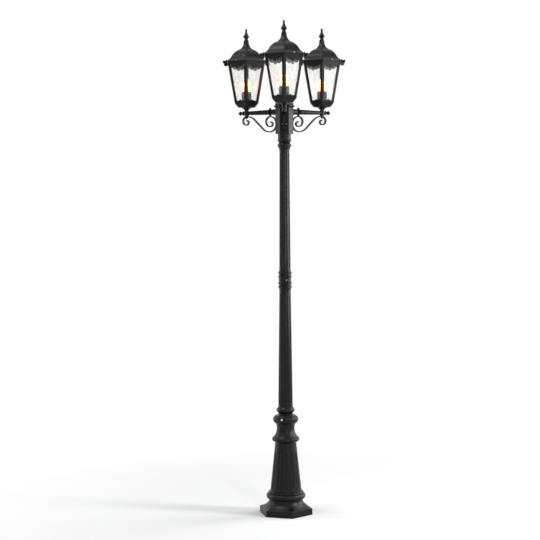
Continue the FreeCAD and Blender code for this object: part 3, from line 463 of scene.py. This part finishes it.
@dataclass(frozen=True)
class LampGlass:
    """Candle lamp's glass with a painted amber glow that stands in for the sticks' light, palest
    half way up the glass.
    """

    name: str
    amber: tuple = (1.0, 0.42, 0.1)
    cream: tuple = (1.0, 0.74, 0.36)
    middle: float = 1.964
    reach: float = 0.044
    cloud_scale: float = 120.0
    cloud_share: float = 0.9
    thinnest: float = 0.14
    thickest: float = 0.52
    rough: float = 0.04
    rough_spread: float = 0.05
    # Strength of the painted glow that the glass gives off.
    glow: float = 1.2

    def material(self) -> bpy.types.Material:
        """Build the lamp glass.

        Returns:
            The material.
        """
        bench = new_bench(self.name)
        where = bench.place()
        height = bench.node("ShaderNodeSeparateXYZ", values={"Vector": where}, output="Z")
        far = bench.node("ShaderNodeMath", {"operation": "ABSOLUTE"}, {0: height - self.middle})
        cloud = bench.noise(where, self.cloud_scale, 2.0)
        # Painted glow: paler, thicker and brighter the closer the glass lies to the sticks' height.
        painted_glow_falloff = 1.0 - far * (1.0 / self.reach)
        share = (painted_glow_falloff + (cloud - 0.5) * self.cloud_share).between(0.0, 1.0)
        shader = bench.node(
            "ShaderNodeBsdfPrincipled",
            values={
                "Base Color": bench.blend(share, self.amber, self.cream),
                "Roughness": self.rough + cloud * self.rough_spread,
                "Alpha": share * (self.thickest - self.thinnest) + self.thinnest,
                "IOR": 1.48,
                # This emission is painted light on the glass, not light from a lamp.
                "Emission Color": bench.blend(share, self.amber, self.cream),
                "Emission Strength": self.glow,
            },
        )
        return bench.finish(shader)


@dataclass(frozen=True)
class Glow:
    """Lit filament sticks, brighter in their beads."""

    name: str
    colour: tuple = (1.0, 0.7, 0.32)
    hot: tuple = (1.0, 0.92, 0.7)
    strength: float = 14.0
    bead_stretch: tuple = (1.0, 1.0, 2.5)
    bead_scale: float = 260.0
    rough: float = 0.4
    rough_spread: float = 0.2

    def material(self) -> bpy.types.Material:
        """Build the glowing finish.

        Returns:
            The material.
        """
        bench = new_bench(self.name)
        beads = bench.noise(bench.place(scale=self.bead_stretch), self.bead_scale, 1.0)
        shader = bench.node(
            "ShaderNodeBsdfPrincipled",
            values={
                "Base Color": bench.blend(beads, self.colour, self.hot),
                "Roughness": self.rough + beads * self.rough_spread,
                "Emission Color": bench.blend(beads, self.colour, self.hot),
                "Emission Strength": self.strength,
            },
        )
        return bench.finish(shader)


class Finishes:
    """The finishes that the post's pieces share, each made once."""

    def __init__(self) -> None:
        """Make every finish."""
        self.casting = Paint("satin_black_casting").material()
        self.tube = Paint("satin_black_tube", lump_depth=0.00015, rough=0.25).material()
        self.bar = Paint(
            "satin_black_bar", lump_scale=140.0, lump_depth=0.0002, rough=0.28
        ).material()
        self.zinc = Plate("bright_zinc").material()
        self.stud = Plate(
            "dull_zinc_stud", colour=(0.22, 0.22, 0.21), dull=(0.12, 0.12, 0.12), rough=0.42
        ).material()
        self.worn = Plate(
            "worn_screw_end", colour=(0.1, 0.1, 0.1), dull=(0.06, 0.06, 0.06), rough=0.55
        ).material()
        self.cap = Plate(
            "lamp_cap_nickel", colour=(0.78, 0.76, 0.7), dull=(0.6, 0.58, 0.52), rough=0.2
        ).material()
        self.holder = Moulded(
            "black_lampholder", (0.004, 0.004, 0.004), rough=0.62, gloss=0.15
        ).material()
        self.block = Moulded("pale_block", (0.75, 0.74, 0.7)).material()
        self.pane = RippledGlass("rippled_pane").material()
        self.lamp = LampGlass("lamp_glass_painted_glow").material()
        self.filament = Glow("lit_filament").material()


# --- modelling helpers -------------------------------------------------------------------------


class Modeller:
    """Makes pieces with the editing operators and brings them to rest in the CAD's frame."""

    def start(self) -> None:
        """Leave edit mode and deselect everything."""
        if bpy.context.object and bpy.context.object.mode == "EDIT":
            bpy.ops.object.mode_set(mode="OBJECT")
        bpy.ops.object.select_all(action="DESELECT")

    def edit(self, piece: bpy.types.Object, mode: str = "FACE") -> bmesh.types.BMesh:
        """Open a piece for editing with nothing selected.

        Args:
            piece: The piece.
            mode: VERT, EDGE or FACE.

        Returns:
            Its edit mesh.
        """
        bpy.context.view_layer.objects.active = piece
        piece.select_set(True)
        bpy.ops.object.mode_set(mode="EDIT")
        bpy.ops.mesh.select_mode(type=mode)
        bpy.ops.mesh.select_all(action="DESELECT")
        return bmesh.from_edit_mesh(piece.data)

    def pick(
        self,
        piece: bpy.types.Object,
        mesh: bmesh.types.BMesh,
        test: Callable[[bmesh.types.BMFace], bool],
    ) -> None:
        """Select the faces that pass a test.

        Args:
            piece: The piece in edit mode.
            mesh: Its edit mesh.
            test: Takes a face and says whether it is selected.
        """
        for face in mesh.faces:
            face.select_set(bool(test(face)))
        mesh.select_flush_mode()
        bmesh.update_edit_mesh(piece.data)

    def close(
        self,
        piece: bpy.types.Object,
        name: str,
        move: Matrix,
        material: bpy.types.Material,
        body: str,
        slot: str,
        smooth: float = 35.0,
    ) -> None:
        """Finish a piece: name it, put its place in its mesh, dress it and let it ride.

        Args:
            piece: The piece, with its object at the origin.
            name: Its name.
            move: Where it goes in the CAD's frame.
            material: Its finish.
            body: The body it rides on.
            slot: The record's material slot. It is not used.
            smooth: Angle in degrees under which edges are shaded smooth.
        """
        piece.data.transform(move)
        piece.name = piece.data.name = name
        piece.data.materials.clear()
        piece.data.materials.append(material)
        self.start()
        piece.select_set(True)
        bpy.context.view_layer.objects.active = piece
        bpy.ops.object.shade_smooth_by_angle(angle=math.radians(smooth))
        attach(piece, body)


@dataclass
class ScrewHead:
    """Low screw head with a driver slot, drawn with its axis along +Z from its seat."""

    radius: float
    rise: float
    slot_half: float = 0.45 * MM
    slot_depth: float = 0.5 * MM
    sides: int = 28
    rim_share: float = 0.16
    crown_share: float = 0.22

    def build(self, modeller: Modeller) -> bpy.types.Object:
        """Model the head.

        Args:
            modeller: The modelling helper.

        Returns:
            The head, still to be placed.
        """
        modeller.start()
        bpy.ops.mesh.primitive_cylinder_add(
            vertices=self.sides, radius=self.radius, depth=self.rise, location=(0, 0, self.rise / 2)
        )
        head = bpy.context.object
        mesh = modeller.edit(head)
        modeller.pick(head, mesh, lambda face: face.normal.z > 0.9)
        bpy.ops.mesh.inset(
            thickness=self.radius * self.rim_share, depth=self.rise * self.crown_share
        )
        for side in (-self.slot_half, self.slot_half):
            bpy.ops.mesh.select_all(action="SELECT")
            bpy.ops.mesh.bisect(plane_co=(side, 0, 0), plane_no=(1, 0, 0))
        mesh = bmesh.from_edit_mesh(head.data)
        # The mesh is measured from half way up the head, and only its crown lies over this level.
        top = self.rise * (1 + self.crown_share * 0.75) - head.location.z
        modeller.pick(
            head, mesh,
            lambda face: face.normal.z > 0.9
            and face.calc_center_median().z > top
            and abs(face.calc_center_median().x) < self.slot_half,
        )
        bpy.ops.mesh.extrude_region_move(
            TRANSFORM_OT_translate={"value": (0, 0, -self.slot_depth)}
        )
        bpy.ops.object.mode_set(mode="OBJECT")
        return head


@dataclass
class SocketEnd:
    """Ring on a set screw's end that leaves a six-sided socket, drawn with its axis along +Z."""

    radius: float
    rise: float = 0.4 * MM
    socket_share: float = 0.52
    sides: int = 24

    def build(self, modeller: Modeller) -> bpy.types.Object:
        """Model the ring between a round rim and the six-sided socket.

        Args:
            modeller: The modelling helper.

        Returns:
            The ring, still to be placed.
        """
        modeller.start()
        level = (0, 0, self.rise)
        bpy.ops.mesh.primitive_circle_add(
            vertices=self.sides, radius=self.radius, location=level
        )
        end = bpy.context.object
        modeller.edit(end, "EDGE")
        bpy.ops.mesh.primitive_circle_add(
            vertices=6, radius=self.radius * self.socket_share, location=level
        )
        bpy.ops.mesh.select_all(action="SELECT")
        bpy.ops.mesh.bridge_edge_loops()
        bpy.ops.mesh.select_all(action="SELECT")
        bpy.ops.mesh.extrude_region_move(TRANSFORM_OT_translate={"value": (0, 0, -self.rise)})
        bpy.ops.mesh.select_all(action="SELECT")
        bpy.ops.mesh.normals_make_consistent(inside=False)
        bpy.ops.object.mode_set(mode="OBJECT")
        return end


@dataclass
class FacetedKnob:
    """Knob at an arm's free end: a square collar, a waist and a pyramid, all on their corners.

    It is drawn with its axis along +Z from the arm's end. Every radius is over the corners, and
    each ring is a radius and its distance from the arm's end.
    """

    collar_corner: float = 10.4 * MM
    collar_length: float = 4.2 * MM
    rings: tuple = (
        (8.0 * MM, 5.6 * MM),
        (6.4 * MM, 7.6 * MM),
        (6.4 * MM, 11.6 * MM),
        (7.4 * MM, 12.8 * MM),
        (10.6 * MM, 18.4 * MM),
        (10.0 * MM, 19.6 * MM),
        (1.8 * MM, 28.9 * MM),
    )
    edge: float = 0.35 * MM

    def build(self, modeller: Modeller) -> bpy.types.Object:
        """Model the knob ring by ring from its collar.

        Args:
            modeller: The modelling helper.

        Returns:
            The knob, still to be placed.
        """
        modeller.start()
        bpy.ops.mesh.primitive_cylinder_add(
            vertices=4, radius=self.collar_corner, depth=self.collar_length,
            location=(0, 0, self.collar_length / 2),
        )
        knob = bpy.context.object
        mesh = modeller.edit(knob)
        modeller.pick(knob, mesh, lambda face: face.normal.z > 0.9)
        corner, height = self.collar_corner, self.collar_length
        for next_corner, next_height in self.rings:
            rise = next_height - height
            bpy.ops.mesh.extrude_region_move(TRANSFORM_OT_translate={"value": (0, 0, rise)})
            factor = next_corner / corner
            bpy.ops.transform.resize(value=(factor, factor, 1))
            corner, height = next_corner, next_height
        bpy.ops.mesh.select_all(action="SELECT")
        bpy.ops.mesh.bevel(offset=self.edge, segments=2, affect="EDGES")
        bpy.ops.object.mode_set(mode="OBJECT")
        return knob


@dataclass
class GripSleeve:
    """Sleeve with upright ribs round a lampholder, drawn about the origin's axis at its height."""

    radius: float = 21.7 * MM
    low: float = 1884 * MM
    high: float = 1909 * MM
    rise: float = 0.7 * MM
    margin: float = 0.5 * MM
    count: int = 24

    def build(self, modeller: Modeller) -> bpy.types.Object:
        """Model the sleeve by raising every other facet of a tube.

        Args:
            modeller: The modelling helper.

        Returns:
            The sleeve, still to be placed.
        """
        modeller.start()
        bpy.ops.mesh.primitive_cylinder_add(
            vertices=self.count * 2, radius=self.radius, depth=self.high - self.low,
            end_fill_type="NOTHING", location=(0, 0, (self.low + self.high) / 2),
        )
        sleeve = bpy.context.object
        mesh = modeller.edit(sleeve)
        step = math.pi / self.count
        modeller.pick(
            sleeve, mesh,
            lambda face: int((math.atan2(face.normal.y, face.normal.x) + math.tau) / step) % 2 == 0,
        )
        bpy.ops.mesh.inset(thickness=self.margin, depth=self.rise, use_individual=True)
        bpy.ops.object.mode_set(mode="OBJECT")
        return sleeve


class Small(Enum):
    """Small parts that repeat, each with how it is modelled."""

    FOOT_SOCKET = SocketEnd(4.4 * MM)
    COUPLING_SOCKET = SocketEnd(3.0 * MM)
    PLATE_HEAD = ScrewHead(
        2.5 * MM, 0.6 * MM, slot_half=0.35 * MM, slot_depth=0.3 * MM, sides=20
    )
    ROOF_HEAD = ScrewHead(3.1 * MM, 0.6 * MM)
    KNOB = FacetedKnob()
    GRIP_SLEEVE = GripSleeve()


class Stock:
    """Models each small part once and hands out copies with their own meshes."""

    def __init__(self, modeller: Modeller) -> None:
        """Model every small part.

        Args:
            modeller: The modelling helper.
        """
        self.modeller = modeller
        self.masters: dict[Small, bpy.types.Object] = {}
        for small in Small:
            master = small.value.build(modeller)
            master.data.transform(master.matrix_world)
            master.matrix_world = Matrix.Identity(4)
            self.masters[small] = master
            LOG.info("modelled %s", small.name)

    def take(self, small: Small) -> bpy.types.Object:
        """Copy a small part.

        Args:
            small: Which one.

        Returns:
            The copy, at the origin.
        """
        piece = self.masters[small].copy()
        piece.data = self.masters[small].data.copy()
        bpy.context.scene.collection.objects.link(piece)
        return piece

    def clear(self) -> None:
        """Remove the models that the copies came from."""
        for master in self.masters.values():
            bpy.data.objects.remove(master, do_unlink=True)


def aim(place: Vector, direction: Vector, spin: float = 0.0) -> Matrix:
    """Matrix that takes +Z to a direction and the origin to a place.

    Args:
        place: Where the origin goes.
        direction: Where +Z points.
        spin: Turn about the direction, in radians.

    Returns:
        The matrix.
    """
    turn = direction.to_track_quat("Z", "Y").to_matrix().to_4x4()
    return Matrix.Translation(place) @ turn @ Matrix.Rotation(spin, 4, "Z")


def radial(angle: float) -> Vector:
    """Level unit vector at an angle.

    Args:
        angle: Degrees from +X.

    Returns:
        The vector.
    """
    return Vector((math.cos(math.radians(angle)), math.sin(math.radians(angle)), 0.0))


# --- sub-assemblies ----------------------------------------------------------------------------


class Assembly:
    """What every sub-assembly shares: the frame, the finishes and the stock of small parts."""

    def __init__(self, frame: dict, finishes: Finishes, stock: Stock) -> None:
        """Keep the shared tools.

        Args:
            finishes: The finishes.
            stock: The small parts.
        """
        self.frame = frame
        self.finishes = finishes
        self.stock = stock
        self.modeller = stock.modeller

    def dress(self, node: str, material: bpy.types.Material) -> None:
        """Give a CAD node its finish.

        Args:
            node: The node's name.
            material: The finish.
        """
        item = self.frame["nodes"][node]
        for slot in item.material_slots:
            slot.material = material
        LOG.info("dressed %s in %s", node, material.name)


@dataclass
class PostSizes:
    """Places of the post's set screws: lengths in metres, turns about the post in degrees."""

    foot_end: float = 57.4 * MM
    foot_height: float = 434 * MM
    foot_turn: float = -107.8
    coupling_end: float = 28.6 * MM
    coupling_height: float = 1063 * MM
    coupling_turn: float = -76.1
    socket_spin: float = 0.3


class Post(Assembly):
    """Foot, poles, coupling, collar and hub."""

    sizes = PostSizes()

    def build(self) -> None:
        """Dress the post's castings, tubes and screws, and add the set screws' sockets."""
        for node in ("foot_casting", "top_collar", "hub", "hub_cap", "stem_nuts"):
            self.dress(node, self.finishes.casting)
        for node in ("lower_pole", "pole_coupling", "upper_pole"):
            self.dress(node, self.finishes.tube)
        self.dress("set_screws", self.finishes.zinc)
        self.dress("bracket_screws", self.finishes.stud)
        self.dress("terminal_block", self.finishes.block)
        sizes = self.sizes
        self.add_sockets(
            "foot", Small.FOOT_SOCKET, sizes.foot_end, sizes.foot_height, sizes.foot_turn,
            self.finishes.zinc,
        )
        self.add_sockets(
            "coupling", Small.COUPLING_SOCKET, sizes.coupling_end, sizes.coupling_height,
            sizes.coupling_turn, self.finishes.worn,
        )

    def add_sockets(
        self,
        row: str,
        small: Small,
        end: float,
        height: float,
        turn: float,
        material: bpy.types.Material,
    ) -> None:
        """Set a six-sided socket on each of three set screws round the post.

        Args:
            row: What the screws hold, which starts the pieces' names.
            small: The socket end.
            end: Distance of the screws' ends from the axis.
            height: Height of the screws.
            turn: Angle of the first screw, in degrees.
            material: The finish.
        """
        for index in range(3):
            out = radial(turn + 120 * index)
            place = out * end + Vector((0, 0, height))
            piece = self.stock.take(small)
            name = f"{row}_screw_socket_{index + 1}"
            move = aim(place, out, self.sizes.socket_spin * index)
            self.modeller.close(piece, name, move, material, "post", "zinc_screw")


@dataclass
class ArmSizes:
    """Places along an arm that its added pieces need, in metres, and its slots' turn in radians."""

    plate_face: float = 41 * MM
    screw_side: float = 8.8 * MM
    screw_height: float = 1762 * MM
    bar_height: float = 1819 * MM
    bar_end: float = 214 * MM
    slot_spin: float = 0.7


class Arm(Assembly):
    """One arm with its collar, knob, scroll bar and plate screws."""

    sizes = ArmSizes()

    def __init__(self, head: Head, frame: dict, finishes: Finishes, stock: Stock) -> None:
        """Keep which arm this is.

        Args:
            head: The lantern that the arm carries.
            finishes: The finishes.
            stock: The small parts.
        """
        super().__init__(frame, finishes, stock)
        self.head = head

    def build(self) -> None:
        """Dress the arm and add its faceted knob and slotted plate screws."""
        number = self.head.number
        for name in ("arm", "arm_collar", "arm_knob"):
            self.dress(f"{name}_{number}", self.finishes.casting)
        self.dress(f"scroll_bracket_{number}", self.finishes.bar)
        self.dress(f"stem_{number}", self.finishes.stud)
        self.add_knob()
        self.add_plate_screws()

    def add_knob(self) -> None:
        """Put the faceted knob on the arm's end in place of the plain turned one."""
        number = self.head.number
        out = radial(self.head.angle)
        place = out * self.sizes.bar_end + Vector((0, 0, self.sizes.bar_height))
        knob = self.stock.take(Small.KNOB)
        self.modeller.close(
            knob, f"faceted_knob_{number}", aim(place, out), self.finishes.casting, "post",
            "black_paint", 20.0,
        )
        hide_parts(f"arm_knob_{number}")

    def add_plate_screws(self) -> None:
        """Set a slotted head on each screw of the arm's plate."""
        sizes = self.sizes
        out = radial(self.head.angle)
        across = radial(self.head.angle + 90)
        for index, side in enumerate((-1, 1), start=1):
            place = out * sizes.plate_face + across * side * sizes.screw_side
            place.z = sizes.screw_height
            piece = self.stock.take(Small.PLATE_HEAD)
            name = f"plate_screw_head_{self.head.number}_{index}"
            move = aim(place, out, sizes.slot_spin * side)
            self.modeller.close(piece, name, move, self.finishes.stud, "post", "zinc_screw")


@dataclass
class LanternSizes:
    """Places in a lantern that its added pieces need, in metres, and its slots' turn in radians."""

    reach: float = 198.5 * MM
    screw_face: float = 90 * MM
    screw_height: float = 2054.2 * MM
    slot_spin: float = 0.5


class Lantern(Assembly):
    """One lantern: bowl, cage, panes, lampholder, lamp, roof and finial."""

    sizes = LanternSizes()

    def __init__(self, head: Head, frame: dict, finishes: Finishes, stock: Stock) -> None:
        """Keep which lantern this is.

        Args:
            head: Which of the three.
            finishes: The finishes.
            stock: The small parts.
        """
        super().__init__(frame, finishes, stock)
        self.head = head
        self.axis = radial(head.angle) * self.sizes.reach

    def build(self) -> None:
        """Dress the lantern's nodes and add its ribs and screw heads."""
        number, finishes = self.head.number, self.finishes
        for name, material in (
            ("bowl", finishes.casting),
            ("cage", finishes.casting),
            ("glass_panes", finishes.pane),
            ("lampholder", finishes.holder),
            ("bulb_cap", finishes.cap),
            ("bulb_glass", finishes.lamp),
            ("filament", finishes.filament),
            ("roof", finishes.casting),
            ("finial", finishes.casting),
            ("roof_screws", finishes.stud),
        ):
            self.dress(f"{name}_{number}", material)
        self.add_holder_ribs()
        self.add_roof_screws()

    def add_holder_ribs(self) -> None:
        """Put a grip sleeve with upright ribs round the lampholder."""
        self.modeller.close(
            self.stock.take(Small.GRIP_SLEEVE), f"holder_ribs_{self.head.number}",
            Matrix.Translation(self.axis), self.finishes.holder, "post", "lampholder",
        )

    def add_roof_screws(self) -> None:
        """Set a slotted head on each screw of the roof's eave."""
        sizes = self.sizes
        for index in range(3):
            out = radial(self.head.angle + self.head.facet + 120 * index)
            place = self.axis + out * sizes.screw_face
            place.z = sizes.screw_height
            piece = self.stock.take(Small.ROOF_HEAD)
            name = f"roof_screw_head_{self.head.number}_{index + 1}"
            body = f"roof_{self.head.number}"
            move = aim(place, out, sizes.slot_spin + index)
            self.modeller.close(piece, name, move, self.finishes.stud, body, "zinc_screw")


# --- studio ------------------------------------------------------------------------------------


@dataclass(frozen=True)
class SoftLamp:
    """Area lamp that faces the post: where it hangs, its width and height, its power in watts."""

    name: str
    place: tuple
    size: tuple
    power: float

    def hang(self, target: Vector) -> None:
        """Hang the lamp.

        Args:
            target: The point that it faces.
        """
        data = bpy.data.lights.new(self.name, "AREA")
        data.shape = "RECTANGLE"
        data.size, data.size_y = self.size
        data.energy = self.power
        lamp = bpy.data.objects.new(self.name, data)
        bpy.context.scene.collection.objects.link(lamp)
        turn = (target - Vector(self.place)).to_track_quat("-Z", "Y").to_matrix().to_4x4()
        lamp.matrix_world = Matrix.Translation(self.place) @ turn


@dataclass
class Studio:
    """Pale floor, soft lamps, plain backdrop and the camera at the photograph's angle."""

    lens: float = 91.64
    sensor: float = 36.0
    distance: float = 6.2
    height: float = 1.4
    aside: float = -0.0676
    orbit: float = 0.66
    pitch: float = 2.7
    roll: float = -0.28
    floor_size: float = 40.0
    floor_drop: float = 0.5 * MM
    floor_grain: float = 3.0
    floor_dark: tuple = (0.87, 0.87, 0.87)
    floor_light: tuple = (0.89, 0.89, 0.89)
    fade_start: float = 0.45
    fade_length: float = 1.1
    air_colour: tuple = (0.97, 0.985, 1.0, 1.0)
    air_strength: float = 0.3
    lamps_aim: float = 1.2
    lamps: tuple = (
        SoftLamp("left_softbox", (-2.7, 0.7, 1.5), (0.5, 2.8), 30.0),
        SoftLamp("right_softbox", (2.6, 1.1, 1.7), (1.4, 2.6), 56.0),
        SoftLamp("right_panel", (2.7, -0.68, 1.8), (0.5, 2.2), 68.0),
        SoftLamp("front_strip", (1.25, -3.4, 1.9), (0.3, 2.2), 24.0),
        SoftLamp("left_key", (-1.5, -0.8, 4.0), (1.4, 1.4), 42.0),
    )
    glow_height: float = 1.957
    glow_radius: float = 0.012
    glow_power: float = 0.12
    glow_colour: tuple = (1.0, 0.62, 0.28)

    def build(self) -> None:
        """Build the whole studio."""
        self.add_floor()
        self.add_world()
        self.add_lamps()
        for head in Head:
            self.add_glow(head)
        self.add_camera()

    def add_glow(self, head: Head) -> None:
        """Let a lit lamp warm the inside of its lantern.

        Args:
            head: The lantern.
        """
        name = f"lantern_glow_{head.number}"
        data = bpy.data.lights.new(name, "POINT")
        data.energy = self.glow_power
        data.color = self.glow_colour
        data.shadow_soft_size = self.glow_radius
        glow = bpy.data.objects.new(name, data)
        bpy.context.scene.collection.objects.link(glow)
        out = radial(head.angle) * Lantern.sizes.reach
        glow.location = out + Vector((0, 0, self.glow_height))

    def add_floor(self) -> None:
        """Lay a pale floor that shows white to the camera and keeps the post's shadow."""
        bpy.ops.object.select_all(action="DESELECT")
        bpy.ops.mesh.primitive_plane_add(size=self.floor_size, location=(0, 0, -self.floor_drop))
        floor = bpy.context.object
        floor.name = "studio_floor"
        bench = new_bench("pale_floor")
        where = bench.place()
        grain = bench.noise(where, self.floor_grain, 2.0)
        diffuse = bench.node(
            "ShaderNodeBsdfDiffuse",
            values={"Color": bench.blend(grain, self.floor_dark, self.floor_light)},
        )
        white = bench.node("ShaderNodeEmission", values={"Color": WHITE, "Strength": 1.0})
        reach = bench.node("ShaderNodeVectorMath", {"operation": "LENGTH"}, {0: where}, "Value")
        fade = ((reach - self.fade_start) * (1.0 / self.fade_length)).between(0.0, 1.0)
        share = fade * bench.seen()
        mixed = bench.node("ShaderNodeMixShader", values={0: share, 1: diffuse, 2: white})
        floor.data.materials.append(bench.finish(mixed))

    def add_world(self) -> None:
        """Light from all round, and plain white wherever the post isn't."""
        world = bpy.data.worlds.new("studio_air")
        bpy.context.scene.world = world
        bench = Bench(world)
        air = bench.node(
            "ShaderNodeBackground",
            values={"Color": self.air_colour, "Strength": self.air_strength},
        )
        white = bench.node("ShaderNodeBackground", values={"Color": WHITE, "Strength": 1.0})
        bench.finish(bench.node("ShaderNodeMixShader", values={0: bench.seen(), 1: air, 2: white}))

    def add_lamps(self) -> None:
        """Hang the soft lamps: at both sides, a strip in front and a key above at the left."""
        for lamp in self.lamps:
            lamp.hang(Vector((0, 0, self.lamps_aim)))

    def add_camera(self) -> None:
        """Stand the camera where the photograph was taken from."""
        data = bpy.data.cameras.new("camera")
        data.lens = self.lens
        data.sensor_width = self.sensor
        camera = bpy.data.objects.new("camera", data)
        bpy.context.scene.collection.objects.link(camera)
        orbit = Matrix.Rotation(math.radians(self.orbit), 4, "Z")
        place = Matrix.Translation((self.aside, -self.distance, self.height))
        tilt = Matrix.Rotation(math.radians(90 - self.pitch), 4, "X")
        roll = Matrix.Rotation(math.radians(self.roll), 4, "Z")
        camera.matrix_world = orbit @ place @ tilt @ roll
        bpy.context.scene.camera = camera


def main(frame: dict) -> None:
    """Dress the post, add its small pieces and build the studio.
    """
    logging.basicConfig(level=logging.INFO, format="%(name)s: %(message)s")
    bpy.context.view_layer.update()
    bpy.context.scene.view_settings.view_transform = "Standard"
    finishes, stock = Finishes(), Stock(Modeller())
    Post(frame, finishes, stock).build()
    for head in Head:
        Arm(head, frame, finishes, stock).build()
        Lantern(head, frame, finishes, stock).build()
    stock.clear()
    Studio().build()


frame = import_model()

if __name__ == "__main__":
    main(frame)
